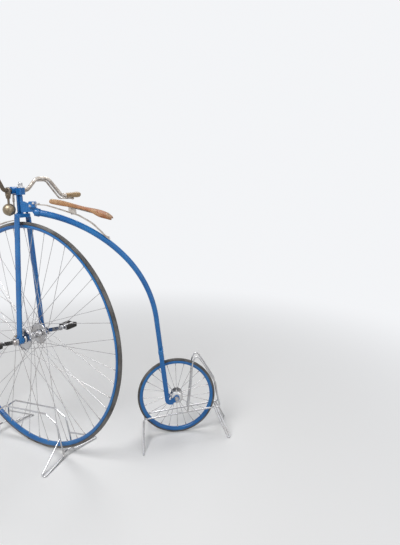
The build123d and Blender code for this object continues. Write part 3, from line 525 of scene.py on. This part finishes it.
class HIGHWHEELER_OT_finishes(bpy.types.Operator):
    """Make every finish and give it to the frame's own nodes"""

    bl_idname = "high_wheeler.finishes"
    bl_label = "Finishes"

    def execute(self, context):
        colours = context.scene.high_wheeler_colours
        FINISHES.update(
            paint=gloss_paint(colours),
            tyre=worn_rubber("tyre_rubber", colours.tyre, colours.tyre_worn, colours.dust),
            rubber=worn_rubber(
                "pedal_rubber", (0.022, 0.021, 0.020), (0.04, 0.038, 0.036), (0.09, 0.085, 0.08)
            ),
            spokes=metal("spoke_steel", colours.steel, colours.rust, 0.26, 0.25),
            steel=metal("bare_steel", colours.steel, colours.rust, 0.30, 0.5),
            nickel=metal("dull_nickel", colours.nickel, colours.nickel_stain, 0.30, 0.75),
            browned=metal("browned_nickel", colours.nickel_browned, colours.brass_stain, 0.36, 0.8),
            chrome=metal("bright_plate", colours.chrome, colours.nickel_stain, 0.10, 0.16, 0.03, 0.08),
            hub=metal("pale_plate", colours.chrome, colours.nickel_stain, 0.17, 0.28),
            shell=metal("hub_shell", colours.hub_shell, colours.nickel_stain, 0.22, 0.10),
            brass=metal("aged_brass", colours.brass, colours.brass_stain, 0.30, 0.7),
            wood=turned_wood(colours),
            leather=saddle_leather(colours),
        )
        finish_of_slot = {
            "blue_paint": "paint",
            "tyre_rubber": "tyre",
            "spoke_steel": "spokes",
            "dull_nickel": "nickel",
            "bright_plate": "chrome",
            "pale_plate": "hub",
            "black_rubber": "rubber",
            "aged_brass": "brass",
            "turned_wood": "wood",
            "tan_leather": "leather",
        }
        for row in frame["record"]["subparts"]:
            node = NODES[row["node"]]
            node.data.materials.clear()
            finish = finish_of_slot[row["material_slot"]]
            if row["node"] in ("handlebar_left", "bell_clamp"):
                finish = "browned"
            node.data.materials.append(FINISHES[finish])
        return {"FINISHED"}


class HIGHWHEELER_OT_front_wheel(bpy.types.Operator):
    """Add the nipples, spoke heads and hub fittings of the front wheel"""

    bl_idname = "high_wheeler.front_wheel"
    bl_label = "Front Wheel Fittings"

    def execute(self, context):
        sizes = context.scene.high_wheeler_sizes
        rim_radius = 0.614
        tangent_radius = 0.057
        reach = math.sqrt(rim_radius**2 - tangent_radius**2)
        wrap = math.acos(tangent_radius / rim_radius)
        rim_ends = []
        hub_ends = []
        rim_lateral = 0.003
        flange_lateral = 0.050
        flange_half = 0.002
        outer_lateral, inner_lateral = 0.0557, 0.0463
        spoke_sets = (
            # side, turning sense, first rim angle in degrees, face of the flange that holds the hub end
            (1, 1, 0.0, 1),
            (1, -1, 15.0, -1),
            (-1, 1, 7.5, 1),
            (-1, -1, 22.5, -1),
        )
        for side, sense, rim_angle, face in spoke_sets:
            lateral = outer_lateral if face > 0 else inner_lateral
            for index in range(SPOKES_PER_SET):
                angle = math.radians(rim_angle + index * SPOKE_STEP) - sense * wrap
                outward = Vector((math.cos(angle), 0, math.sin(angle)))
                sideways = Vector((-sense * outward.z, 0, sense * outward.x))
                foot = outward * tangent_radius + Vector((0, side * lateral, 0))
                along = sideways * reach + Vector((0, side * (rim_lateral - lateral), 0))
                tip = foot + along
                inward = -along.normalized()
                rim_ends.append(STEERED @ aim(tip + inward * sizes.nipple_length, along))
                hub_face = Vector((foot.x, side * (flange_lateral + face * flange_half), foot.z))
                hub_ends.append(STEERED @ aim(hub_face, (0, side * face, 0)))
        nipples = repeated("front_nipples", spoke_nipple(sizes, 0.62), rim_ends)
        finished(nipples, "front_wheel", "spokes")
        button = domed("button", 0.0042, 0.0034, 10)
        fitted("front_spoke_heads", button, hub_ends, "front_wheel", "hub")

        barrel_ring = turned(
            "barrel_ring",
            [(-0.010, 0.0204), (-0.008, 0.0222), (-0.004, 0.0222), (-0.002, 0.0210), (0.002, 0.0210),
             (0.004, 0.0222), (0.008, 0.0222), (0.010, 0.0204)],
            40,
        )
        softened(barrel_ring, 0.0005, 1)
        placed(barrel_ring, STEERED @ ALONG_AXLE)
        finished(barrel_ring, "front_wheel", "hub")

        crank_face = 0.1095
        caps = [STEERED @ aim((0, side * crank_face, 0), (0, side, 0)) for _, side in SIDES]
        cap = turned(
            "axle_cap",
            [(0, 0.0150), (0.002, 0.0150), (0.004, 0.0118), (0.0065, 0.0108), (0.0075, 0.0060)],
            28,
        )
        softened(cap, 0.0006)
        fitted("front_axle_caps", cap, caps, "front_wheel", "steel")

        cotters = []
        cotter_offset, crank_middle, cotter_head = 0.0125, 0.103, 0.0255
        for _, side in SIDES:
            angle = math.radians(CRANK_DEGREES[side])
            across = Vector((-math.sin(angle), 0, math.cos(angle)))
            inner = Vector((math.cos(angle), 0, math.sin(angle))) * cotter_offset
            middle = inner + Vector((0, side * crank_middle, 0))
            cotters.append(STEERED @ aim(middle - across * cotter_head, across))
        pin = turned(
            "cotter", [(0, 0.0030), (0.002, 0.0042), (0.040, 0.0046), (0.0405, 0.0070), (0.046, 0.0070)], 14
        )
        softened(pin, 0.0006)
        fitted("crank_cotters", pin, cotters, "front_wheel", "steel")
        return {"FINISHED"}


class HIGHWHEELER_OT_rear_wheel(bpy.types.Operator):
    """Add the nipples, spoke collars, hub domes and axle nuts of the rear wheel"""

    bl_idname = "high_wheeler.rear_wheel"
    bl_label = "Rear Wheel Fittings"

    def execute(self, context):
        sizes = context.scene.high_wheeler_sizes
        rim_ends = []
        hub_ends = []
        hub_radius, hub_lateral = 0.0363, 0.024
        rim_radius, rim_lateral = 0.198, 0.0025
        for side in (1, -1):
            for index in range(SPOKES_PER_SET):
                angle = math.radians((index + (side + 1) / 4) * SPOKE_STEP)
                outward = Vector((math.cos(angle), 0, math.sin(angle)))
                start = outward * hub_radius + Vector((0, side * hub_lateral, 0))
                end = outward * rim_radius + Vector((0, side * rim_lateral, 0))
                along = (end - start).normalized()
                rim_ends.append(REAR_HUB @ aim(end - along * sizes.nipple_length, along))
                hub_ends.append(REAR_HUB @ aim(start - along * 0.002, along))
        nipples = repeated("rear_nipples", spoke_nipple(sizes, 0.66), rim_ends)
        finished(nipples, "rear_wheel", "spokes")
        collar = turned("collar", [(0, 0.0030), (0.006, 0.0027), (0.0075, 0.0018)], 10)
        fitted("rear_spoke_collars", collar, hub_ends, "rear_wheel", "hub")

        bore = 0.0085
        dome = turned(
            "hub_dome",
            [(0.0255, bore), (0.0255, 0.0330), (0.0275, 0.0325), (0.0300, 0.0290), (0.0315, 0.0230),
             (0.0322, 0.0150), (0.0324, 0.0100), (0.0324, bore)],
            48,
        )
        smooth_under(bored(dome), 35)
        domes = [REAR_HUB @ aim((0, 0, 0), (0, side, 0)) for _, side in SIDES]
        fitted("rear_hub_domes", dome, domes, "rear_wheel", "shell")

        fork_face = 0.0425
        nuts = [REAR_HUB @ aim((0, side * fork_face, 0), (0, side, 0)) for _, side in SIDES]
        nut = hex_head("nut", 0.020, 0.0085, 1.2)
        fitted("rear_axle_nuts", nut, nuts, "frame", "steel")
        return {"FINISHED"}


class HIGHWHEELER_OT_fork(bpy.types.Operator):
    """Add the bearing rings, oilers and bolts of the front fork"""

    bl_idname = "high_wheeler.fork"
    bl_label = "Fork Fittings"

    def execute(self, context):
        sizes = context.scene.high_wheeler_sizes
        inner_face, outer_face = 0.0655, 0.0895
        cup_back, cup_lateral, cup_up = -0.015, 0.0838, 0.0155
        bolt_back, bolt_lateral, bolt_up = 0.0085, 0.0905, -0.0145
        rings = []
        cups = []
        bolts = []
        for _, side in SIDES:
            for lateral in (inner_face, outer_face):
                rings.append(STEERED @ aim((0, side * lateral, 0), (0, side, 0)))
            cups.append(STEERED @ aim((cup_back, side * cup_lateral, cup_up), (-0.7, 0, 0.72)))
            for back in (-bolt_back, bolt_back):
                bolts.append(STEERED @ aim((back, side * bolt_lateral, bolt_up), (0, side, 0)))
        ring = hoop("bearing_ring", 0.0205, 0.0026, 0.8)
        fitted("bearing_rings", ring, rings, "steering", "paint")
        cup = turned(
            "oiler",
            [(0, 0.0046), (0.007, 0.0046), (0.0075, 0.0066), (0.012, 0.0066), (0.0145, 0.0040)],
            16,
        )
        softened(cup, 0.0005)
        fitted("bearing_oilers", cup, cups, "steering", "brass")
        head = hex_head("cap_bolt", sizes.bolt_across * 0.55, 0.0032)
        fitted("bearing_bolts", head, bolts, "steering", "steel")

        crown_lateral, crown_top = 0.030, 0.6935
        crown = [STEERED @ aim((0, side * crown_lateral, crown_top), (0, 0, 1)) for _, side in SIDES]
        head = hex_head("crown_bolt", sizes.bolt_across, 0.0065)
        fitted("crown_bolts", head, crown, "steering", "paint")
        return {"FINISHED"}


class HIGHWHEELER_OT_head(bpy.types.Operator):
    """Add the knurled adjuster, lug collars and lever fittings of the steering head"""

    bl_idname = "high_wheeler.head"
    bl_label = "Head Fittings"

    def execute(self, context):
        sizes = context.scene.high_wheeler_sizes
        rib = turned("rib", [(0.8455, 0.0008), (0.8470, 0.0013), (0.8590, 0.0013), (0.8605, 0.0008)], 6)
        ribs = []
        rib_count, knob_radius = 24, 0.0108
        for index in range(rib_count):
            angle = index * math.tau / rib_count
            spot = (knob_radius * math.cos(angle), knob_radius * math.sin(angle), 0)
            ribs.append(STEERED @ Matrix.Translation(spot))
        fitted("adjuster_knurl", rib, ribs, "steering", "chrome")
        ring = hoop("adjuster_lock_ring", 0.0186, 0.0016, 1.2)
        lock_ring_up = 0.8375
        placed(ring, STEERED @ Matrix.Translation((0, 0, lock_ring_up)))
        finished(ring, "steering", "chrome")

        lug_face = 0.0295
        collars = [
            STEERED @ aim((BAR_BACK, side * lug_face, BAR_UP), (0, side, 0)) for _, side in SIDES
        ]
        collar = turned("lug_collar", [(0, 0.0195), (0.001, 0.0205), (0.003, 0.0205), (0.0042, 0.0160)], 36)
        softened(collar, 0.0006)
        fitted("lug_collars", collar, collars, "steering", "paint")

        head = hex_head("lug_screw", sizes.bolt_across, 0.006)
        lug_front = -0.0575
        screws = [STEERED @ aim((lug_front, 0, BAR_UP), (-1, 0, 0))]
        fitted("lug_screw", head, screws, "steering", "steel")

        lever_up = 0.806
        stops = []
        for lateral in (0.0060, lug_face):  # on both ends of the lever's guide sleeve
            stops.append(STEERED @ aim((BRAKE_ROD_BACK, lateral, lever_up), (0, 1, 0)))
        stop = turned(
            "stop", [(-0.0028, 0.0068), (-0.0020, 0.0084), (0.0020, 0.0084), (0.0028, 0.0068)], 28
        )
        softened(stop, 0.0005)
        fitted("lever_stops", stop, stops, "steering", "nickel")

        yoke = turned(
            "rod_yoke",
            [(0.757, 0.0044), (0.760, 0.0062), (0.790, 0.0062), (0.794, 0.0050), (0.800, 0.0050)],
            20,
        )
        softened(yoke, 0.0006)
        placed(yoke, STEERED @ Matrix.Translation((BRAKE_ROD_BACK, 0, 0)))
        finished(yoke, "steering", "nickel")
        tip = turned(
            "lever_tip",
            [(-0.004, 0.0052), (0, 0.0064), (0.004, 0.0074), (0.008, 0.0074), (0.012, 0.0060),
             (0.0145, 0.0030)],
            20,
        )
        only(tip)
        bpy.ops.object.shade_smooth()
        lever_end, lever_run = (0.030, 0.335, 0.764), (0.020, 0.079, -0.004)
        placed(tip, STEERED @ aim(lever_end, lever_run))
        finished(tip, "steering", "nickel")
        return {"FINISHED"}


class HIGHWHEELER_OT_grips(bpy.types.Operator):
    """Add the ferrules and end caps of the wooden grips"""

    bl_idname = "high_wheeler.grips"
    bl_label = "Grip Fittings"

    def execute(self, context):
        ferrules = []
        caps = []
        for _, side in SIDES:
            end = Vector((0.052, side * 0.375, 0.786))
            bend = Vector((0.025, side * 0.262, 0.784))
            outward = (end - bend).normalized()
            grip_inside, grip_outside = end - outward * 0.0945, end + outward * 0.0070
            ferrules.append(STEERED @ aim(grip_inside, outward))
            caps.append(STEERED @ aim(grip_outside, outward))
        ferrule = turned(
            "ferrule",
            [(-0.010, 0.0112), (-0.009, 0.0128), (0.001, 0.0131), (0.0025, 0.0136), (0.004, 0.0128)],
            28,
        )
        softened(ferrule, 0.0005)
        fitted("grip_ferrules", ferrule, ferrules, "steering", "nickel")
        cap = domed("cap", 0.0078, 0.0022, 20)
        fitted("grip_caps", cap, caps, "steering", "nickel")
        return {"FINISHED"}


class HIGHWHEELER_OT_bell(bpy.types.Operator):
    """Add the waist band, bottom nut, bracket casting and clamp screw of the globe bell"""

    bl_idname = "high_wheeler.bell"
    bl_label = "Bell Fittings"

    def execute(self, context):
        centre = Vector((BAR_BACK, BELL_LATERAL, 0.719))
        band = hoop("bell_band", 0.0320, 0.0011, 1.3, 56)
        placed(band, STEERED @ Matrix.Translation(centre))
        finished(band, "steering", "brass")
        nut = turned(
            "bell_nut",
            [(-0.0345, 0.0030), (-0.0342, 0.0048), (-0.0330, 0.0054), (-0.0322, 0.0054),
             (-0.0320, 0.0075), (-0.0312, 0.0075)],
            20,
        )
        softened(nut, 0.0004)
        placed(nut, STEERED @ Matrix.Translation(centre))
        finished(nut, "steering", "brass")
        bar = Vector((BAR_BACK, BELL_LATERAL, BAR_UP))
        casting = turned(
            "bell_casting",
            [(-0.0460, 0.0085), (-0.0410, 0.0130), (-0.0300, 0.0178), (-0.0120, 0.0205), (0.0040, 0.0210),
             (0.0130, 0.0175), (0.0180, 0.0090)],
            36,
        )
        flatness = 0.52
        placed(casting, Matrix.Diagonal((1, flatness, 1, 1)))
        softened(casting, 0.0008, 2, 20)
        placed(casting, STEERED @ Matrix.Translation(bar))
        finished(casting, "steering", "browned")
        eye = hoop("bell_casting_eye", 0.0068, 0.0016, 1.0, 28)
        screw_drop, casting_face = 0.0250, 0.0102
        placed(eye, STEERED @ aim(bar + Vector((0, -casting_face, -screw_drop)), (0, -1, 0)))
        finished(eye, "steering", "brass")
        screw = turned(
            "clamp_screw",
            [(-0.0105, 0.0030), (-0.0100, 0.0044), (-0.0070, 0.0044), (0.0070, 0.0030),
             (0.0078, 0.0030), (0.0080, 0.0050), (0.0105, 0.0050)],
            16,
        )
        softened(screw, 0.0004)
        placed(screw, STEERED @ aim(bar + Vector((0, 0, -screw_drop)), (0, 1, 0)))
        finished(screw, "steering", "brass")
        return {"FINISHED"}


class HIGHWHEELER_OT_pedals(bpy.types.Operator):
    """Add the ribs, dust caps and plate nuts of the pedals"""

    bl_idname = "high_wheeler.pedals"
    bl_label = "Pedal Fittings"

    def execute(self, context):
        sizes = context.scene.high_wheeler_sizes
        crank_outside, plate_outside, cap_start = 0.115, 0.0778, 0.0818
        tread_start, tread_end = 0.009, 0.069
        treads = (-0.024, 0.024)
        for name, side in SIDES:
            angle = math.radians(CRANK_DEGREES[side])
            hub = Vector(
                (CRANK_LENGTH * math.cos(angle), side * crank_outside, CRANK_LENGTH * math.sin(angle))
            )
            clear_selection()
            bpy.ops.mesh.primitive_cube_add(size=1, location=(0, 0, 0))
            rib = bpy.context.object
            placed(rib, Matrix.Diagonal((0.0222, 0.0022, 0.0274, 1)))
            softened(rib, 0.0008, 1)
            places = []
            for index in range(sizes.pedal_ribs):
                out = tread_start + (tread_end - tread_start) * index / (sizes.pedal_ribs - 1)
                for back in treads:
                    places.append(STEERED @ Matrix.Translation(hub + Vector((back, side * out, 0))))
            fitted(f"pedal_ribs_{name}", rib, places, f"pedal_{name}", "rubber")
            nut = hex_head("plate_nut", 0.008, 0.0032)
            nuts = []
            for back in treads:
                face = hub + Vector((back, side * plate_outside, 0))
                nuts.append(STEERED @ aim(face, (0, side, 0)))
            fitted(f"pedal_nuts_{name}", nut, nuts, f"pedal_{name}", "steel")
            cap = turned("cap", [(0, 0.0092), (0.002, 0.0092), (0.0045, 0.0078), (0.0060, 0.0040)], 24)
            softened(cap, 0.0005)
            placed(cap, STEERED @ aim(hub + Vector((0, side * cap_start, 0)), (0, side, 0)))
            cap.name = f"pedal_cap_{name}"
            finished(cap, "front_wheel", "hub")
        return {"FINISHED"}


class HIGHWHEELER_OT_frame(bpy.types.Operator):
    """Add the bracket bolts, collar ring, crown rivets and spring nuts of the frame"""

    bl_idname = "high_wheeler.frame_fittings"
    bl_label = "Frame Fittings"

    def execute(self, context):
        sizes = context.scene.high_wheeler_sizes
        bracket_face = 0.018
        bolts = []
        for _, side in SIDES:
            for back, height in ((0.0480, 1.3850), (0.0655, 1.3995)):
                bolts.append(aim((back, side * bracket_face, height), (0, side, 0)))
        head = hex_head("bracket_bolt", sizes.bolt_across * 0.85, 0.0055)
        fitted("bracket_bolts", head, bolts, "frame", "hub")

        slope = math.radians(11.7)
        along = Vector((math.cos(slope), 0, -math.sin(slope)))
        start = Vector((0.086, 0, 1.3465))
        ring = turned(
            "collar_ring",
            [(-0.0195, 0.0205), (-0.0185, 0.0228), (-0.0135, 0.0228), (-0.0125, 0.0216)],
            40,
        )
        softened(ring, 0.0005, 1)
        rings = [aim(start, along) @ Matrix.Translation((0, 0, 0.0195))]
        fitted("collar_ring", ring, rings, "frame", "paint")

        rivets = []
        crown_tip = Vector((0.7215, 0, 0.5256))
        down = Vector((0.0916, 0, -0.9958)).normalized()
        blade_face = 0.0424
        for _, side in SIDES:
            for drop in (0.030, 0.050):
                spot = crown_tip + down * drop + Vector((0, side * blade_face, 0))
                rivets.append(aim(spot, (0, side, 0)))
        rivet = domed("crown_rivet", 0.0055, 0.0032)
        fitted("rear_crown_rivets", rivet, rivets, "frame", "paint")

        nuts = [
            # under the saddle's clamp, on the spring's front end and on its tail
            aim((0.2670, -0.012, 1.3378), (0, 0, -1)),
            aim((0.2670, 0.012, 1.3378), (0, 0, -1)),
            aim((0.0900, 0, 1.3925), (0, 0, 1)),
            aim((0.4538, 0, 1.1960), (0.6288, 0, 0.7776)),
        ]
        nut = hex_head("spring_nut", sizes.bolt_across * 0.8, 0.006)
        fitted("spring_nuts", nut, nuts, "frame", "steel")
        return {"FINISHED"}


class HIGHWHEELER_OT_saddle(bpy.types.Operator):
    """Shape the saddle leather over its frame and rivet it on"""

    bl_idname = "high_wheeler.saddle"
    bl_label = "Saddle Leather"

    def execute(self, context):
        sizes = context.scene.high_wheeler_sizes
        stations = (
            # back, top height, half width, edge height
            (0.1475, 1.4085, 0.0120, 1.4035),
            (0.1500, 1.4155, 0.0180, 1.3990),
            (0.1570, 1.4185, 0.0212, 1.3935),
            (0.1740, 1.4175, 0.0230, 1.3895),
            (0.2050, 1.4125, 0.0250, 1.3825),
            (0.2350, 1.4035, 0.0265, 1.3765),
            (0.2610, 1.3945, 0.0290, 1.3730),
            (0.2900, 1.3840, 0.0345, 1.3675),
            (0.3200, 1.3745, 0.0415, 1.3600),
            (0.3450, 1.3675, 0.0490, 1.3540),
            (0.3710, 1.3615, 0.0590, 1.3460),
            (0.3930, 1.3565, 0.0670, 1.3315),
            (0.4130, 1.3510, 0.0715, 1.3180),
            (0.4400, 1.3410, 0.0765, 1.3095),
            (0.4590, 1.3300, 0.0725, 1.3045),
            (0.4730, 1.3185, 0.0665, 1.2990),
            (0.4800, 1.3120, 0.0570, 1.2970),
            (0.4832, 1.3055, 0.0430, 1.2970),
        )
        across = 18
        clear_selection()
        bpy.ops.mesh.primitive_grid_add(
            x_subdivisions=len(stations) - 1, y_subdivisions=across, size=1
        )
        leather = only(bpy.context.object)
        leather.name = "saddle_leather"
        columns = sorted({round(v.co.x, 5) for v in leather.data.vertices})
        station_of = dict(zip(columns, stations))
        for vertex in leather.data.vertices:
            back, top, half, edge = station_of[round(vertex.co.x, 5)]
            turn = vertex.co.y * math.pi
            squareness = 1.4 + half * 8  # wide stations fall more squarely at their edges
            fall = (top - edge) * (1 - math.cos(turn)) ** squareness
            vertex.co = Vector((back, half * math.sin(turn), top - fall))
        thick = leather.modifiers.new("hide", "SOLIDIFY")
        thick.thickness = sizes.leather_thickness
        thick.offset = -1
        bpy.ops.object.modifier_apply(modifier=thick.name)
        smooth = leather.modifiers.new("round", "SUBSURF")
        smooth.levels = 2
        smooth.render_levels = 2
        bpy.ops.object.modifier_apply(modifier=smooth.name)
        bpy.ops.object.shade_smooth()
        finished(leather, "frame", "leather", ["saddle"])

        rivets = []
        above, sunk = 1.5, 0.0004
        for back, lateral in (
            (0.1640, -0.0110),
            (0.1640, 0.0110),
            (0.1580, 0.0000),
            (0.4560, -0.0500),
            (0.4630, -0.0260),
            (0.4650, 0.0000),
            (0.4630, 0.0260),
            (0.4560, 0.0500),
        ):
            _, spot, outward, _ = leather.ray_cast((back, lateral, above), (0, 0, -1))
            rivets.append(aim(spot - outward * sunk, outward))
        rivet = domed("saddle_rivet", 0.0048, 0.0024)
        fitted("saddle_rivets", rivet, rivets, "frame", "brass")
        return {"FINISHED"}


class HIGHWHEELER_OT_stands(bpy.types.Operator):
    """Add the brazed joints of the wire stands"""

    bl_idname = "high_wheeler.stands"
    bl_label = "Stand Joints"

    def execute(self, context):
        front_beads = []
        front_places = (
            # back, lateral place, height
            (-0.314, 0.0325, 0.050),
            (0.232, 0.0325, 0.030),
            (-0.3107, 0.0375, 0.104),
            (0.2135, 0.0375, 0.104),
        )
        for back, lateral, height in front_places:
            for _, side in SIDES:
                front_beads.append(PARKED_TURN @ Matrix.Translation((back, side * lateral, height)))
        rear_beads = []
        rear_places = (
            # back, lateral place, height
            (1.028, 0.0364, 0.1535),
            (1.050, 0.0364, 0.1557),
            (0.607, 0.0945, 0.0600),
            (1.0606, 0.0705, 0.0800),
        )
        for back, lateral, height in rear_places:
            for _, side in SIDES:
                rear_beads.append(Matrix.Translation((back, side * lateral, height)))
        bead = turned(
            "bead",
            [(-0.0068, 0.0020), (-0.0052, 0.0044), (-0.0026, 0.0060), (0.0004, 0.0065),
             (0.0030, 0.0058), (0.0056, 0.0040), (0.0070, 0.0018)],
            20,
        )
        only(bead)
        bpy.ops.object.shade_smooth()
        spare = bead.copy()
        spare.data = bead.data.copy()
        bpy.context.scene.collection.objects.link(spare)
        fitted("front_stand_joints", bead, front_beads, "steering", "chrome")
        fitted("rear_stand_joints", spare, rear_beads, "frame", "chrome")
        return {"FINISHED"}


class HIGHWHEELER_OT_studio(bpy.types.Operator):
    """Set up the floor, the lamps, the white surroundings and the camera"""

    bl_idname = "high_wheeler.studio"
    bl_label = "Studio"

    def execute(self, context):
        scene = context.scene
        clear_selection()
        bpy.ops.mesh.primitive_plane_add(size=30, location=(0, 0, 0))
        floor = bpy.context.object
        floor.name = "studio_floor"
        floor.data.materials.append(pale_floor())

        lamps = (
            # name, energy, size, place, target
            ("key", 110, 2.0, (-1.0, -2.0, 3.9), (0.3, 0, 0.7)),
            ("fill", 24, 3.0, (2.9, -2.4, 1.9), (0.4, 0, 0.7)),
            ("back", 52, 2.0, (1.0, 1.6, 3.8), (0.3, 0, 0.8)),
        )
        for name, energy, size, place, target in lamps:
            lamp = bpy.data.lights.new(name, "AREA")
            lamp.energy = energy
            lamp.size = size
            holder = bpy.data.objects.new(name, lamp)
            scene.collection.objects.link(holder)
            away = Vector(place) - Vector(target)
            holder.matrix_world = aim(place, away)

        world = bpy.data.worlds.new("studio_white")
        scene.world = world
        world.use_nodes = True
        sky = Graph(world.node_tree)
        background = sky.tree.nodes["Background"]
        rays = sky.node("ShaderNodeLightPath")
        seen = rays + rays.beside("Is Glossy Ray") + rays.beside("Is Transmission Ray")
        sky.feed(background.inputs["Color"], BACKGROUND)
        sky.feed(background.inputs["Strength"], LIGHT_SHARE + (1 - LIGHT_SHARE) * seen.above(0, 1))

        lens = bpy.data.cameras.new("photo_view")
        lens.sensor_fit = "HORIZONTAL"
        # Fitted to the photo, in its pixels: focal length and the point straight ahead of the lens
        wide, high = 400, 545
        focal, ahead_x, ahead_y = 418.09, 203.24, 233.4
        lens.sensor_width = 36
        lens.lens = focal / wide * lens.sensor_width
        lens.shift_x = (wide / 2 - ahead_x) / wide
        lens.shift_y = (ahead_y - high / 2) / wide
        holder = bpy.data.objects.new("photo_view", lens)
        scene.collection.objects.link(holder)
        swing, look_down, roll = -6.187, 6.722, -1.4504
        holder.matrix_world = (
            Matrix.Translation((0.7337, -2.3784, 1.4794))
            @ Matrix.Rotation(math.radians(swing), 4, "Z")
            @ Matrix.Rotation(math.radians(90 - look_down), 4, "X")
            @ Matrix.Rotation(math.radians(roll), 4, "Z")
        )
        scene.camera = holder
        scene.view_settings.view_transform = "Standard"
        return {"FINISHED"}


OPERATORS = (
    HIGHWHEELER_OT_finishes,
    HIGHWHEELER_OT_front_wheel,
    HIGHWHEELER_OT_rear_wheel,
    HIGHWHEELER_OT_fork,
    HIGHWHEELER_OT_head,
    HIGHWHEELER_OT_grips,
    HIGHWHEELER_OT_bell,
    HIGHWHEELER_OT_pedals,
    HIGHWHEELER_OT_frame,
    HIGHWHEELER_OT_saddle,
    HIGHWHEELER_OT_stands,
    HIGHWHEELER_OT_studio,
)


class HIGHWHEELER_PT_panel(bpy.types.Panel):
    """Lists the steps in their order"""

    bl_idname = "HIGHWHEELER_PT_panel"
    bl_label = "High Wheeler"
    bl_space_type = "VIEW_3D"
    bl_region_type = "UI"
    bl_category = "High Wheeler"

    def draw(self, context):
        for operator in OPERATORS:
            self.layout.operator(operator.bl_idname)


CLASSES = (HighWheelerSizes, HighWheelerColours, *OPERATORS, HIGHWHEELER_PT_panel)


def register():
    for item in CLASSES:
        bpy.utils.register_class(item)
    bpy.types.Scene.high_wheeler_sizes = PointerProperty(type=HighWheelerSizes)
    bpy.types.Scene.high_wheeler_colours = PointerProperty(type=HighWheelerColours)


def unregister():
    del bpy.types.Scene.high_wheeler_colours
    del bpy.types.Scene.high_wheeler_sizes
    for item in reversed(CLASSES):
        bpy.utils.unregister_class(item)


def main():
    register()
    for operator in OPERATORS:
        group, call = operator.bl_idname.split(".")
        getattr(getattr(bpy.ops, group), call)()


if __name__ == "__main__":
    main()
